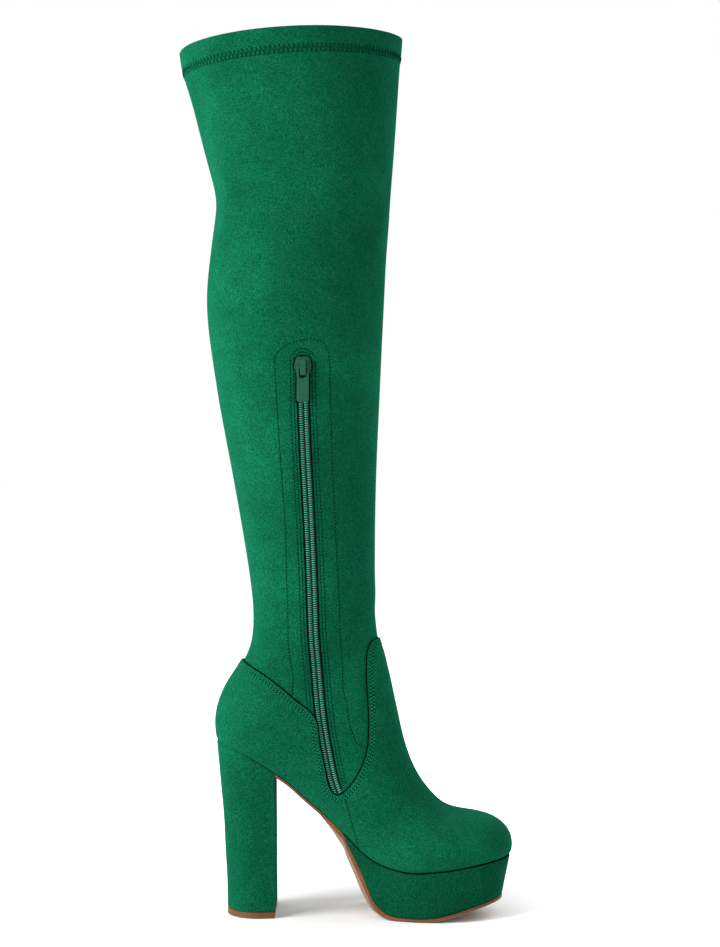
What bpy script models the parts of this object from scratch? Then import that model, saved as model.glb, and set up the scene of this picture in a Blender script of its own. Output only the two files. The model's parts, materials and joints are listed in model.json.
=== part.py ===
"""Left thigh high boot with a covered platform, a block heel and a zip on its inner side.

The origin is on the heel's bottom face, near its middle. The toe points to +X, the inner (medial)
side faces -Y, and +Z is up. All sizes are metres.
"""
import math

import bmesh
import bpy
import numpy as np

# Driving sizes of the last and the leg
LAST_LENGTH = 0.2185
LAST_BACK = 0.1213 * LAST_LENGTH
BALL_WIDTH = 0.083
HEEL_HEIGHT = 0.129
BALL_HEIGHT = 0.0358
TOE_SPRING = 0.0094
VAMP_HEIGHT = 0.1685
COUNTER_HEIGHT = 0.0596
BOOT_HEIGHT = 0.654
ANKLE_LEVEL = 0.205
LEG_LINE = 0.206 * LAST_LENGTH
ANKLE_DEPTH = 0.092
ANKLE_WIDTH = 0.072
CALF_DEPTH = 0.131
CALF_WIDTH = 0.106
KNEE_DEPTH = 0.129
KNEE_WIDTH = 0.108
COLLAR_DEPTH = 0.1655
COLLAR_WIDTH = 0.132

# Walls, gaps and laps
SHAFT_WALL = 0.0014
UPPER_WALL = 0.0015
GAP = 0.0003
LAP = 0.009
HEM_HEIGHT = 0.0185
HEM_STEP = 0.0005
HEM_RAMP = 0.0008

# Sole, heel and insole
SOLE_EDGE = 0.0025
SOLE_BEVEL = 0.0045
SOLE_UNDERCUT = 0.0003
BEVEL_RANGE = 2.0
PLATFORM_FLANGE = 0.0009
PLATFORM_DRAFT = 0.0015
PLATFORM_RAKE = 0.0064
PLATFORM_TAIL = 0.0012
PLATFORM_BLEND = 0.02
RAKE_BEND = 1.5
BALL_ROW = 7
BREAST = 0.0775 * LAST_LENGTH
HEEL_BOTTOM_BACK = 0.0860 * LAST_LENGTH
HEEL_BOTTOM_FRONT = 0.0785 * LAST_LENGTH
HEEL_BOTTOM_TAPER = 0.96
TOP_PIECE = 0.005
INSOLE_THICKNESS = 0.002
INSOLE_CLEARANCE = 0.0004

# Zip
ZIP_TOP = 0.4135
SLOT_WIDTH = 0.0085
COIL_WIDTH = 0.0069
COIL_PROUD = 0.0003
COIL_END_GAP = 0.004
COIL_TOP = ZIP_TOP - COIL_END_GAP
TAPE_WIDTH = 0.026
TAPE_THICKNESS = 0.0008
TAPE_MARGIN = 0.005
SLIDER_HEIGHT = 0.0145
SLIDER_WIDTH = 0.0123
SLIDER_FOOT = 0.0086
SLIDER_PLATE = 0.0014
SLIDER_BELOW_TOP = 0.0083
SLIDER_MIDDLE = ZIP_TOP - SLIDER_BELOW_TOP
SLIDER_REACH = 0.004
CROWN_WIDTH = 0.0042
CROWN_LENGTH = 0.0132
CROWN_BAR = 0.0011
CROWN_HOLE = 0.0024
CROWN_POST = 0.00165
CROWN_BEND = 0.6
TAB_WIDTH = 0.0087
TAB_LENGTH = 0.0262
TAB_THICKNESS = 0.0012
TAB_WINDOW = 0.0084
TAB_ARM = 0.0015
TAB_CORNER = 0.0012

# Mesh fineness
LOW_TURN = 0.42
TURNS = 25
EDGE_BLEND = 0.006
TOE_FINE = 8
HEEL_FINE = 16
SHAFT_START = 10
UPPER_END = 26
REACH = 0.3
STEP = 1e-5
TURN_STEP = 1e-3
MIDDLE_SHARE = 0.45
SEARCHES = 50
SHARP_ANGLE = 35
TOPLINE_FINE = 4
ZIP_EDGE_STOPS = 5
ZIP_STOPS = 16
ARCH_STOPS = 7
CROWN_STOPS = 11

ZIP_SECTOR = (-0.88, -0.3)

MEDIAL = -1
LATERAL = 1

# The slider's plate from its foot to its top: a width, a share of it, and a share of its height
SLIDER_OUTLINE = [
    (SLIDER_FOOT, 0.70, -1.00), (SLIDER_FOOT, 1.00, -0.80), (SLIDER_WIDTH, 1.00, -0.15),
    (SLIDER_WIDTH, 1.00, 0.20), (SLIDER_WIDTH, 0.80, 0.80), (SLIDER_WIDTH, 0.62, 1.00),
]

FOOT_COLUMNS = ["bottom", "front", "rise", "centre", "medial_edge", "lateral_edge",
                "medial", "lateral", "widest", "crown"]
# bottom and front are shares of the last's length, rise of the vamp's height, widths of the ball's
FOOT_ROWS = [
    (0.989, 0.989, 0.049, -0.060, 0.000, 0.000, 0.000, 0.000, 0.50, 0.50),
    (0.985, 0.998, 0.086, -0.060, 0.096, 0.096, 0.104, 0.104, 0.50, 0.50),
    (0.974, 0.994, 0.139, -0.060, 0.181, 0.178, 0.197, 0.194, 0.47, 0.50),
    (0.952, 0.975, 0.175, -0.058, 0.268, 0.260, 0.292, 0.284, 0.43, 0.50),
    (0.915, 0.941, 0.205, -0.052, 0.346, 0.338, 0.378, 0.372, 0.40, 0.50),
    (0.867, 0.890, 0.225, -0.041, 0.400, 0.395, 0.435, 0.432, 0.37, 0.50),
    (0.808, 0.828, 0.237, -0.028, 0.433, 0.430, 0.475, 0.474, 0.36, 0.50),
    (0.744, 0.773, 0.261, -0.014, 0.443, 0.443, 0.495, 0.497, 0.35, 0.52),
    (0.675, 0.723, 0.319, 0.000, 0.431, 0.438, 0.497, 0.503, 0.34, 0.55),
    (0.606, 0.680, 0.396, 0.014, 0.395, 0.412, 0.479, 0.494, 0.34, 0.58),
    (0.542, 0.649, 0.483, 0.024, 0.355, 0.380, 0.455, 0.475, 0.35, 0.60),
    (0.478, 0.627, 0.577, 0.029, 0.318, 0.347, 0.430, 0.450, 0.36, 0.62),
    (0.405, 0.611, 0.672, 0.029, 0.288, 0.314, 0.407, 0.423, 0.37, 0.62),
    (0.327, 0.597, 0.755, 0.024, 0.276, 0.294, 0.391, 0.402, 0.38, 0.62),
    (0.249, 0.586, 0.823, 0.017, 0.281, 0.291, 0.383, 0.389, 0.39, 0.62),
    (0.176, 0.576, 0.877, 0.010, 0.294, 0.298, 0.382, 0.384, 0.39, 0.62),
    (0.112, 0.568, 0.921, 0.004, 0.296, 0.296, 0.384, 0.384, 0.385, 0.61),
    (0.062, 0.562, 0.949, 0.001, 0.251, 0.251, 0.386, 0.386, 0.38, 0.60),
    (0.027, 0.5575, 0.966, 0.000, 0.172, 0.172, 0.389, 0.389, 0.38, 0.60),
    (0.0105, 0.555, 0.978, 0.000, 0.083, 0.083, 0.392, 0.392, 0.38, 0.60),
    (0.006, 0.5525, 0.986, 0.000, 0.000, 0.000, 0.395, 0.395, 0.38, 0.60),
]

HEEL_COLUMNS = ["back", "back_rise", "front", "front_rise", "half", "widest", "crown"]
# back and front are shares of the last's length, back_rise of the counter's height
HEEL_ROWS = [
    (0.000, 0.164, 0.5505, 0.998, 0.400, 0.385, 0.60),
    (0.004, 0.378, 0.548, 1.019, 0.408, 0.39, 0.59),
    (0.029, 0.639, 0.545, 1.049, 0.417, 0.40, 0.58),
    (0.065, 0.856, 0.542, 1.087, 0.424, 0.41, 0.57),
    (0.101, 1.074, 0.540, 1.135, 0.429, 0.43, 0.56),
]

ANKLE = (ANKLE_DEPTH, ANKLE_WIDTH)
CALF = (CALF_DEPTH, CALF_WIDTH)
KNEE = (KNEE_DEPTH, KNEE_WIDTH)
COLLAR = (COLLAR_DEPTH, COLLAR_WIDTH)

LEG_COLUMNS = ["girth", "back_rise", "front_rise", "back", "front", "medial", "lateral",
               "widest", "crown"]
# rises are shares of the leg's height, the others of the girth's own depth and width
LEG_ROWS = [
    (ANKLE, 0.002, 0.069, 0.496, 0.509, 0.497, 0.497, 0.45, 0.55),
    (ANKLE, 0.038, 0.101, 0.485, 0.506, 0.503, 0.503, 0.46, 0.55),
    (ANKLE, 0.083, 0.139, 0.502, 0.505, 0.518, 0.515, 0.46, 0.55),
    (CALF, 0.145, 0.192, 0.383, 0.356, 0.374, 0.368, 0.45, 0.55),
    (CALF, 0.221, 0.260, 0.427, 0.361, 0.410, 0.396, 0.44, 0.54),
    (CALF, 0.302, 0.331, 0.478, 0.370, 0.452, 0.428, 0.43, 0.54),
    (CALF, 0.378, 0.400, 0.527, 0.381, 0.486, 0.458, 0.425, 0.53),
    (CALF, 0.456, 0.472, 0.570, 0.392, 0.505, 0.480, 0.42, 0.53),
    (CALF, 0.521, 0.532, 0.599, 0.402, 0.508, 0.494, 0.425, 0.53),
    (CALF, 0.570, 0.579, 0.606, 0.410, 0.506, 0.500, 0.43, 0.53),
    (KNEE, 0.633, 0.638, 0.597, 0.427, 0.494, 0.494, 0.45, 0.52),
    (KNEE, 0.687, 0.691, 0.573, 0.441, 0.498, 0.498, 0.47, 0.52),
    (KNEE, 0.727, 0.732, 0.563, 0.450, 0.506, 0.506, 0.48, 0.52),
    (COLLAR, 0.776, 0.781, 0.466, 0.361, 0.427, 0.427, 0.48, 0.52),
    (COLLAR, 0.846, 0.852, 0.516, 0.375, 0.453, 0.453, 0.49, 0.53),
    (COLLAR, 0.901, 0.924, 0.556, 0.388, 0.477, 0.477, 0.48, 0.56),
    (COLLAR, 0.939, 0.966, 0.586, 0.396, 0.491, 0.491, 0.47, 0.62),
    (COLLAR, 0.973, 1.000, 0.601, 0.403, 0.500, 0.500, 0.46, 0.66),
]

FEATHER_COLUMNS = ["along", "arch", "spring"]
# the seat's height: arch is a share of the heel's rise over the ball, spring of the toe's
FEATHER_ROWS = [
    (0.000, 1.000, 0.00), (0.040, 0.972, 0.00), (0.081, 0.932, 0.00), (0.127, 0.876, 0.00),
    (0.166, 0.820, 0.00), (0.207, 0.751, 0.00), (0.245, 0.687, 0.00), (0.297, 0.578, 0.00),
    (0.349, 0.475, 0.00), (0.400, 0.366, 0.00), (0.444, 0.262, 0.00), (0.487, 0.162, 0.00),
    (0.539, 0.073, 0.00), (0.600, 0.020, 0.00), (0.668, 0.000, 0.00), (0.750, 0.000, 0.15),
    (0.806, 0.000, 0.32), (0.849, 0.000, 0.49), (0.892, 0.000, 0.67), (0.950, 0.000, 0.89),
    (0.998, 0.000, 1.00),
]

SOLE_COLUMNS = ["along", "line", "thickness", "square"]
# line: share of the height from the sole's edge up to the seat; thickness: share of the edge;
# square: share of the thickness that is the upright edge above the bevel
SOLE_ROWS = [
    (0.207, 1.000, 0.90, 1.00), (0.297, 1.000, 1.00, 1.00), (0.349, 1.000, 1.20, 0.90),
    (0.378, 1.000, 2.20, 0.60), (0.410, 1.000, 3.60, 0.46), (0.430, 1.000, 4.40, 0.42),
    (0.441, 0.945, 4.80, 0.42), (0.468, 0.832, 5.40, 0.45), (0.492, 0.686, 5.90, 0.47),
    (0.516, 0.464, 4.80, 0.50), (0.527, 0.341, 3.80, 0.55), (0.549, 0.188, 2.60, 0.64),
    (0.574, 0.082, 1.75, 0.75), (0.592, 0.034, 1.35, 0.77), (0.615, 0.008, 1.10, 0.80),
    (0.645, 0.000, 1.00, 0.80), (0.690, 0.000, 1.00, 0.80), (0.729, 0.020, 1.00, 0.80),
    (0.749, 0.037, 1.00, 0.80), (0.770, 0.068, 1.00, 0.80), (0.809, 0.130, 1.00, 0.80),
    (0.849, 0.196, 1.00, 0.80), (0.890, 0.253, 1.00, 0.80), (0.920, 0.290, 1.00, 0.80),
    (0.952, 0.317, 1.00, 0.80), (0.980, 0.338, 1.00, 0.80),
]

HEEL_FLARE_COLUMNS = ["level", "flare"]
# how far the heel has widened from its bottom outline to its seat, by level
HEEL_FLARE_ROWS = [(0.00, 0.00), (0.17, 0.06), (0.35, 0.22), (0.52, 0.34), (0.70, 0.58),
                   (0.86, 0.80), (1.00, 1.00)]

TOPLINE_COLUMNS = ["along", "rise", "lap_x", "lap_z"]
# the upper's top edge seen from the side, and the way that the shaft laps under it
VAMP_EDGE = [
    (0.620, 1.006, 0.0, -1.0), (0.560, 1.004, 0.0, -1.0), (0.534, 0.995, 0.3, -1.0),
    (0.520, 0.968, 0.8, -0.6), (0.513, 0.905, 1.0, 0.0), (0.513, 0.820, 1.0, 0.0),
    (0.518, 0.725, 1.0, 0.0), (0.520, 0.618, 1.0, 0.0), (0.516, 0.541, 1.0, -0.1),
    (0.500, 0.470, 0.9, -0.4), (0.474, 0.405, 0.8, -0.6), (0.441, 0.352, 0.6, -0.8),
]
COUNTER_EDGE = [
    (0.314, 0.704, -0.6, -0.8), (0.290, 0.728, -0.5, -0.9), (0.225, 0.799, -0.5, -0.9),
    (0.159, 0.862, -0.4, -0.9), (0.108, 0.896, -0.3, -1.0), (0.040, 0.925, -0.2, -1.0),
    (-0.040, 0.945, 0.0, -1.0),
]
ZIP_END_DROP = 0.0035
COUNTER_CORNER_HEIGHT = 0.147

ZIP_COLUMNS = ["height", "along"]
# the zip's middle line: height is a share of the boot's, along of the last's length
ZIP_ROWS = [
    (0.125, 0.441), (0.1457, 0.410), (0.155, 0.400), (0.181, 0.382), (0.2085, 0.3665),
    (0.248, 0.351), (0.284, 0.342), (0.316, 0.334), (0.354, 0.3295), (0.423, 0.322),
    (0.469, 0.3155), (0.515, 0.3085), (0.583, 0.301), (0.650, 0.299),
]
ZIP_BOTTOM = 0.095


def table(rows, columns):
    """The rows' columns by name."""
    return {name: np.array([row[i] for row in rows]) for i, name in enumerate(columns)}


def smooth_curve(knots, values, start_flat=False, end_flat=False):
    """A curve of even bend through the values, level at an end that is flat."""
    knots = np.asarray(knots, float)
    values = np.asarray(values, float)
    count = len(knots)
    span = np.diff(knots)
    slope = np.diff(values) / span
    matrix = np.zeros((count, count))
    right = np.zeros(count)
    for i in range(1, count - 1):
        matrix[i, i - 1] = span[i - 1]
        matrix[i, i] = 2 * (span[i - 1] + span[i])
        matrix[i, i + 1] = span[i]
        right[i] = 6 * (slope[i] - slope[i - 1])
    matrix[0, 0] = 1.0
    matrix[-1, -1] = 1.0
    if start_flat:
        matrix[0, :2] = (2 * span[0], span[0])
        right[0] = 6 * slope[0]
    if end_flat:
        matrix[-1, -2:] = (span[-1], 2 * span[-1])
        right[-1] = -6 * slope[-1]
    bend = np.linalg.solve(matrix, right)

    def curve(at):
        at = np.clip(at, knots[0], knots[-1])
        i = np.clip(np.searchsorted(knots, at, side="right") - 1, 0, count - 2)
        left = (knots[i + 1] - at) / span[i]
        ahead = (at - knots[i]) / span[i]
        pull = ((left**3 - left) * bend[i] + (ahead**3 - ahead) * bend[i + 1]) * span[i]**2 / 6
        return left * values[i] + ahead * values[i + 1] + pull

    return curve


def steady_curve(knots, values):
    """A smooth curve through the values that never swings past them."""
    knots = np.asarray(knots, float)
    values = np.asarray(values, float)
    span = np.diff(knots)
    slope = np.diff(values) / span
    tangent = np.zeros(len(knots))
    tangent[0] = slope[0]
    tangent[-1] = slope[-1]
    for i in range(1, len(knots) - 1):
        if slope[i - 1] * slope[i] > 0:
            tangent[i] = 2 / (1 / slope[i - 1] + 1 / slope[i])

    def curve(at):
        at = np.clip(at, knots[0], knots[-1])
        i = np.clip(np.searchsorted(knots, at, side="right") - 1, 0, len(knots) - 2)
        u = (at - knots[i]) / span[i]
        return ((2 * u**3 - 3 * u**2 + 1) * values[i] + (u**3 - 2 * u**2 + u) * span[i] * tangent[i]
                + (3 * u**2 - 2 * u**3) * values[i + 1] + (u**3 - u**2) * span[i] * tangent[i + 1])

    return curve


def along(share):
    """The x of a share of the last's length."""
    return share * LAST_LENGTH - LAST_BACK


def share_along(x):
    """The share of the last's length at x."""
    return (x + LAST_BACK) / LAST_LENGTH


FEATHER = table(FEATHER_ROWS, FEATHER_COLUMNS)
FEATHER_LINE = steady_curve(
    FEATHER["along"],
    BALL_HEIGHT + FEATHER["arch"] * (HEEL_HEIGHT - BALL_HEIGHT) + FEATHER["spring"] * TOE_SPRING)
SOLE = table(SOLE_ROWS, SOLE_COLUMNS)
SOLE_LINE = steady_curve(SOLE["along"], SOLE["line"])
SOLE_THICKNESS = steady_curve(SOLE["along"], SOLE["thickness"])
SOLE_SQUARE = steady_curve(SOLE["along"], SOLE["square"])
ZIP = table(ZIP_ROWS, ZIP_COLUMNS)
ZIP_LINE = smooth_curve(ZIP["height"], ZIP["along"])


def feather(x):
    """Height of the seat that the upper stands on."""
    return FEATHER_LINE(share_along(x))


def sole_top(x):
    """Height of the line between the outsole and what is above it."""
    return SOLE_EDGE + SOLE_LINE(share_along(x)) * (feather(x) - SOLE_EDGE)


def zip_middle(z):
    """The x of the zip's middle line at a height."""
    return along(ZIP_LINE(z / BOOT_HEIGHT))


def section_curves():
    """Each value of a section as a curve over the way from the toe to the collar."""
    foot = table(FOOT_ROWS, FOOT_COLUMNS)
    heel = table(HEEL_ROWS, HEEL_COLUMNS)
    depth = np.array([row[0][0] for row in LEG_ROWS])
    width = np.array([row[0][1] for row in LEG_ROWS])
    leg = table([row[1:] for row in LEG_ROWS], LEG_COLUMNS[1:])
    leg_height = BOOT_HEIGHT - ANKLE_LEVEL
    rest = len(HEEL_ROWS) + len(LEG_ROWS)

    bottom_x = np.concatenate([along(foot["bottom"]), along(heel["back"]),
                               LEG_LINE - leg["back"] * depth])
    bottom_z = np.concatenate([feather(along(foot["bottom"])),
                               HEEL_HEIGHT + heel["back_rise"] * COUNTER_HEIGHT,
                               ANKLE_LEVEL + leg["back_rise"] * leg_height])
    front_x = np.concatenate([along(foot["front"]), along(heel["front"]),
                              LEG_LINE + leg["front"] * depth])
    front_z = np.concatenate([BALL_HEIGHT + foot["rise"] * VAMP_HEIGHT,
                              BALL_HEIGHT + heel["front_rise"] * VAMP_HEIGHT,
                              ANKLE_LEVEL + leg["front_rise"] * leg_height])
    front_z[0] = bottom_z[0]
    values = {
        "front_x": front_x,
        "front_z": front_z,
        "centre": np.concatenate([foot["centre"] * BALL_WIDTH, np.zeros(rest)]),
        "medial": np.concatenate([foot["medial"] * BALL_WIDTH, heel["half"] * BALL_WIDTH,
                                  leg["medial"] * width]),
        "lateral": np.concatenate([foot["lateral"] * BALL_WIDTH, heel["half"] * BALL_WIDTH,
                                   leg["lateral"] * width]),
        "widest": np.concatenate([foot["widest"], heel["widest"], leg["widest"]]),
        "crown": np.concatenate([foot["crown"], heel["crown"], leg["crown"]]),
    }
    edge = np.concatenate([foot["medial_edge"] * BALL_WIDTH, np.zeros(rest)])
    low = np.stack([bottom_x, edge, bottom_z], axis=1)
    high = np.stack([front_x, front_z], axis=1)
    way = (np.linalg.norm(np.diff(low, axis=0), axis=1)
           + np.linalg.norm(np.diff(high, axis=0), axis=1)) / 2
    knots = np.concatenate([[0.0], np.cumsum(way)])
    last = len(FOOT_ROWS)
    even = ("front_x", "front_z", "centre", "widest", "crown")
    curves = {name: smooth_curve(knots, column, start_flat=name in even)
              for name, column in values.items()}
    foot_knots = knots[:last]
    for name in ("medial_edge", "lateral_edge"):
        curves[name] = smooth_curve(foot_knots, foot[name] * BALL_WIDTH)
    curves["sole_x"] = smooth_curve(foot_knots, bottom_x[:last], start_flat=True, end_flat=True)
    curves["back_x"] = smooth_curve(knots[last - 1:], bottom_x[last - 1:])
    curves["back_z"] = smooth_curve(knots[last - 1:], bottom_z[last - 1:])
    return knots, curves


KNOTS, CURVES = section_curves()
HEEL_CORNER = KNOTS[len(FOOT_ROWS) - 1]
COLLAR_END = KNOTS[-1]


def is_closed(s):
    """Whether the section at s goes all round, above the sole."""
    return s >= HEEL_CORNER - STEP / 10


def section_value(name, s):
    """One value of the section at s."""
    if name in ("medial_edge", "lateral_edge"):
        return 0.0 if is_closed(s) else max(float(CURVES[name](s)), 0.0)
    if name == "bottom_x":
        return float(CURVES["back_x" if is_closed(s) else "sole_x"](s))
    if name == "bottom_z":
        return float(CURVES["back_z"](s)) if is_closed(s) else float(feather(CURVES["sole_x"](s)))
    return float(CURVES[name](s))


def section_points(s, turn):
    """Points of the section at s. turn is -1 at the medial edge, 0 in front, 1 at the lateral."""
    turn = np.asarray(turn, float)
    if is_closed(s):
        turn = (turn + 1) % 2 - 1
    side = np.where(turn < 0, -1.0, 1.0)
    climb = np.clip(1 - np.abs(turn), 0, 1)
    medial = side < 0
    edge = np.where(medial, section_value("medial_edge", s), section_value("lateral_edge", s))
    wide = np.where(medial, section_value("medial", s), section_value("lateral", s))
    widest = section_value("widest", s)
    low = np.clip(climb / LOW_TURN, 0, 1) * math.pi / 2
    high = np.clip((climb - LOW_TURN) / (1 - LOW_TURN), 0, 1) * math.pi / 2
    share = widest * (1 - np.cos(low)) + (1 - widest) * np.sin(high)
    below = np.sqrt(edge**2 + (wide**2 - edge**2) * np.sin(low)**2)
    above = wide * np.maximum(np.cos(high), 0)**(2 * section_value("crown", s))
    half = np.where(climb <= LOW_TURN, below, above)
    start = np.array([section_value("bottom_x", s), section_value("bottom_z", s)])
    end = np.array([section_value("front_x", s), section_value("front_z", s)])
    x = start[0] + share * (end[0] - start[0])
    z = start[1] + share * (end[1] - start[1])
    y = section_value("centre", s) + side * half
    return np.stack([x, y, z], axis=-1)


def section_normals(s, turn):
    """Outward normals of the section's points."""
    turn = np.asarray(turn, float)
    low_turn = turn - TURN_STEP
    high_turn = turn + TURN_STEP
    if not is_closed(s):
        low_turn = np.maximum(low_turn, -1)
        high_turn = np.minimum(high_turn, 1)
    around = section_points(s, high_turn) - section_points(s, low_turn)
    up = section_points(min(s + STEP, COLLAR_END), turn) - section_points(max(s - STEP, 0), turn)
    normal = np.cross(around, up)
    start = np.array([section_value("bottom_x", s), 0, section_value("bottom_z", s)])
    end = np.array([section_value("front_x", s), 0, section_value("front_z", s)])
    middle = start + MIDDLE_SHARE * (end - start)
    middle[1] = section_value("centre", s)
    points = section_points(s, turn)
    flip = np.where(np.sum(normal * (points - middle), axis=-1) < 0, -1.0, 1.0)
    normal = normal * flip[:, None]
    return normal / np.linalg.norm(normal, axis=-1, keepdims=True)


def edge_normal(s, side):
    """Outward normal in plan of the seat's outline at s."""
    turn = np.array([float(side)])
    tangent = section_points(s + STEP, turn)[0] - section_points(max(s - STEP, 0), turn)[0]
    if s < STEP:
        normal = np.array([1.0, 0.0])
    elif s > HEEL_CORNER - STEP:
        normal = np.array([-1.0, 0.0])
    else:
        normal = np.array([tangent[1], -tangent[0]])
        normal = normal * (1 if normal[1] * side > 0 else -1)
        normal = normal / np.linalg.norm(normal)
    return normal


def edge_point(s, side, offset):
    """The seat's outline in plan at s, moved outward by an offset."""
    point = section_points(s, np.array([float(side)]))[0]
    return point[:2] + edge_normal(s, side) * offset


def wall_row(s, turns, offset, lift):
    """A section's points moved outward; its open ends stand on the seat, raised by lift."""
    if s < STEP:
        x, y = edge_point(0.0, MEDIAL, offset)
        return np.repeat([[x, y, feather(x) + lift]], len(turns), axis=0)
    if is_closed(s) and s > HEEL_CORNER + STEP:
        return section_points(s, turns) + offset * section_normals(s, turns)
    points = section_points(s, turns)
    normals = section_normals(s, turns)
    normals[:, 2] *= np.clip((points[:, 2] - feather(points[:, 0])) / EDGE_BLEND, 0, 1)
    points = points + offset * normals / np.linalg.norm(normals, axis=1)[:, None]
    for i, side in ((0, MEDIAL), (-1, LATERAL)):
        x, y = edge_point(s, side, offset)
        points[i] = (x, y, feather(x) + lift)
    return points


def find_row(x, z):
    """The section that a point seen from the side lies on."""
    low = KNOTS[1]
    high = COLLAR_END
    for _ in range(SEARCHES):
        s = (low + high) / 2
        start = (section_value("bottom_x", s), section_value("bottom_z", s))
        end = (section_value("front_x", s), section_value("front_z", s))
        turned = (end[0] - start[0]) * (z - start[1]) - (end[1] - start[1]) * (x - start[0])
        if turned > 0:
            low = s
        else:
            high = s
    return s


def side_point(x, z, side, offset):
    """The wall's point that is seen at x, z from one side, moved outward by an offset."""
    s = find_row(x, z)
    start = np.array([section_value("bottom_x", s), section_value("bottom_z", s)])
    end = np.array([section_value("front_x", s), section_value("front_z", s)])
    chord = end - start
    share = float(np.clip(np.dot(np.array([x, z]) - start, chord) / np.dot(chord, chord), 0, 1))
    widest = section_value("widest", s)
    if share <= widest:
        climb = LOW_TURN * math.acos(1 - share / widest) / (math.pi / 2)
    else:
        high = math.asin(min((share - widest) / (1 - widest), 1.0))
        climb = LOW_TURN + (1 - LOW_TURN) * high / (math.pi / 2)
    turn = np.array([side * (1 - climb)])
    return section_points(s, turn)[0] + offset * section_normals(s, turn)[0]


def new_object(name, bm, material):
    """A finished object from a bmesh, smooth where it bends softly."""
    bmesh.ops.recalc_face_normals(bm, faces=bm.faces)
    mesh = bpy.data.meshes.new(name)
    bm.to_mesh(mesh)
    bm.free()
    mesh.shade_smooth()
    mesh.set_sharp_from_angle(angle=math.radians(SHARP_ANGLE))
    obj = bpy.data.objects.new(name, mesh)
    bpy.context.scene.collection.objects.link(obj)
    if material is not None:
        mesh.materials.append(material)
    return obj


def wall_between(name, outer, inner, material):
    """A closed wall between two grids of points, joined along their open edges."""
    bm = bmesh.new()
    seen = {}
    grids = []
    for layer, grid in enumerate((outer, inner)):
        verts = []
        for row in grid:
            line = []
            for point in row:
                key = (layer,) + tuple(int(round(c * 1e7)) for c in point)
                if key not in seen:
                    seen[key] = bm.verts.new(point)
                line.append(seen[key])
            verts.append(line)
        grids.append(verts)
    partner = {}
    for line_out, line_in in zip(*grids):
        for vert_out, vert_in in zip(line_out, line_in):
            partner[vert_out] = vert_in
    for verts in grids:
        for i in range(len(verts) - 1):
            for j in range(len(verts[0]) - 1):
                a, b, c, d = verts[i][j], verts[i + 1][j], verts[i + 1][j + 1], verts[i][j + 1]
                for ring in ((a, b, c), (a, c, d)):
                    if len(set(ring)) == 3:
                        bm.faces.new(ring)
    rim = [edge for edge in bm.edges
           if len(edge.link_faces) == 1 and all(v in partner for v in edge.verts)]
    for edge in rim:
        a, b = edge.verts
        bm.faces.new([a, b, partner[b], partner[a]])
    return new_object(name, bm, material)


def stacked(name, layers, material):
    """A closed solid through stacked outlines, each a medial and a lateral run of points."""
    bm = bmesh.new()
    runs = []
    for medial, lateral in layers:
        runs.append(([bm.verts.new(p) for p in medial], [bm.verts.new(p) for p in lateral]))
    for lower, upper in zip(runs, runs[1:]):
        for side in (0, 1):
            for i in range(len(lower[side]) - 1):
                bm.faces.new([lower[side][i], lower[side][i + 1],
                              upper[side][i + 1], upper[side][i]])
        for i in (0, -1):
            bm.faces.new([lower[0][i], lower[1][i], upper[1][i], upper[0][i]])
    for medial, lateral in (runs[0], runs[-1]):
        for i in range(len(medial) - 1):
            bm.faces.new([medial[i], medial[i + 1], lateral[i + 1], lateral[i]])
    bmesh.ops.remove_doubles(bm, verts=bm.verts, dist=1e-6)
    return new_object(name, bm, material)


def prism(name, outline, low, high):
    """A cutter: an outline seen from the side, drawn out from y low to y high."""
    bm = bmesh.new()
    near = [bm.verts.new((x, low, z)) for x, z in outline]
    far = [bm.verts.new((x, high, z)) for x, z in outline]
    bm.faces.new(near)
    bm.faces.new(list(reversed(far)))
    for i in range(len(outline)):
        j = (i + 1) % len(outline)
        bm.faces.new([near[i], far[i], far[j], near[j]])
    bmesh.ops.triangulate(bm, faces=[f for f in bm.faces if len(f.verts) > 4])
    cutter = new_object(name, bm, None)
    cutter.hide_render = True
    cutter.display_type = "WIRE"
    return cutter


def cut(obj, cutter, operation="DIFFERENCE"):
    """Give an object a Boolean with a cutter."""
    modifier = obj.modifiers.new(cutter.name, "BOOLEAN")
    modifier.object = cutter
    modifier.operation = operation
    modifier.solver = "EXACT"


def make_material(name, colour, roughness, metallic=0.0):
    """A plain Principled material."""
    material = bpy.data.materials.new(name)
    material.use_nodes = True
    shader = material.node_tree.nodes["Principled BSDF"]
    shader.inputs["Base Color"].default_value = (*colour, 1.0)
    shader.inputs["Roughness"].default_value = roughness
    shader.inputs["Metallic"].default_value = metallic
    return material


def topline(lap):
    """The upper's top edge from the front to the heel, moved by the lap."""
    vamp = table(VAMP_EDGE, TOPLINE_COLUMNS)
    counter = table(COUNTER_EDGE, TOPLINE_COLUMNS)
    zip_heights = np.linspace(ZIP_BOTTOM, COUNTER_CORNER_HEIGHT, ZIP_EDGE_STOPS)
    zip_edge = [(zip_middle(z) - SLOT_WIDTH / 2 - lap, z) for z in zip_heights]
    zip_edge[0] = (zip_edge[0][0] + lap / 2, ZIP_BOTTOM - lap / 2)
    end = [(zip_middle(ZIP_BOTTOM), ZIP_BOTTOM - ZIP_END_DROP - lap)]

    def moved(edge):
        x = along(edge["along"]) + lap * edge["lap_x"]
        z = BALL_HEIGHT + edge["rise"] * VAMP_HEIGHT + lap * edge["lap_z"]
        return list(zip(x, z))

    points = np.array(moved(vamp) + end + zip_edge + moved(counter))
    way = np.concatenate([[0.0], np.cumsum(np.linalg.norm(np.diff(points, axis=0), axis=1))])
    x = smooth_curve(way, points[:, 0])
    z = smooth_curve(way, points[:, 1])
    stops = np.linspace(0, way[-1], TOPLINE_FINE * len(points))
    return list(zip(x(stops), z(stops)))


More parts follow.
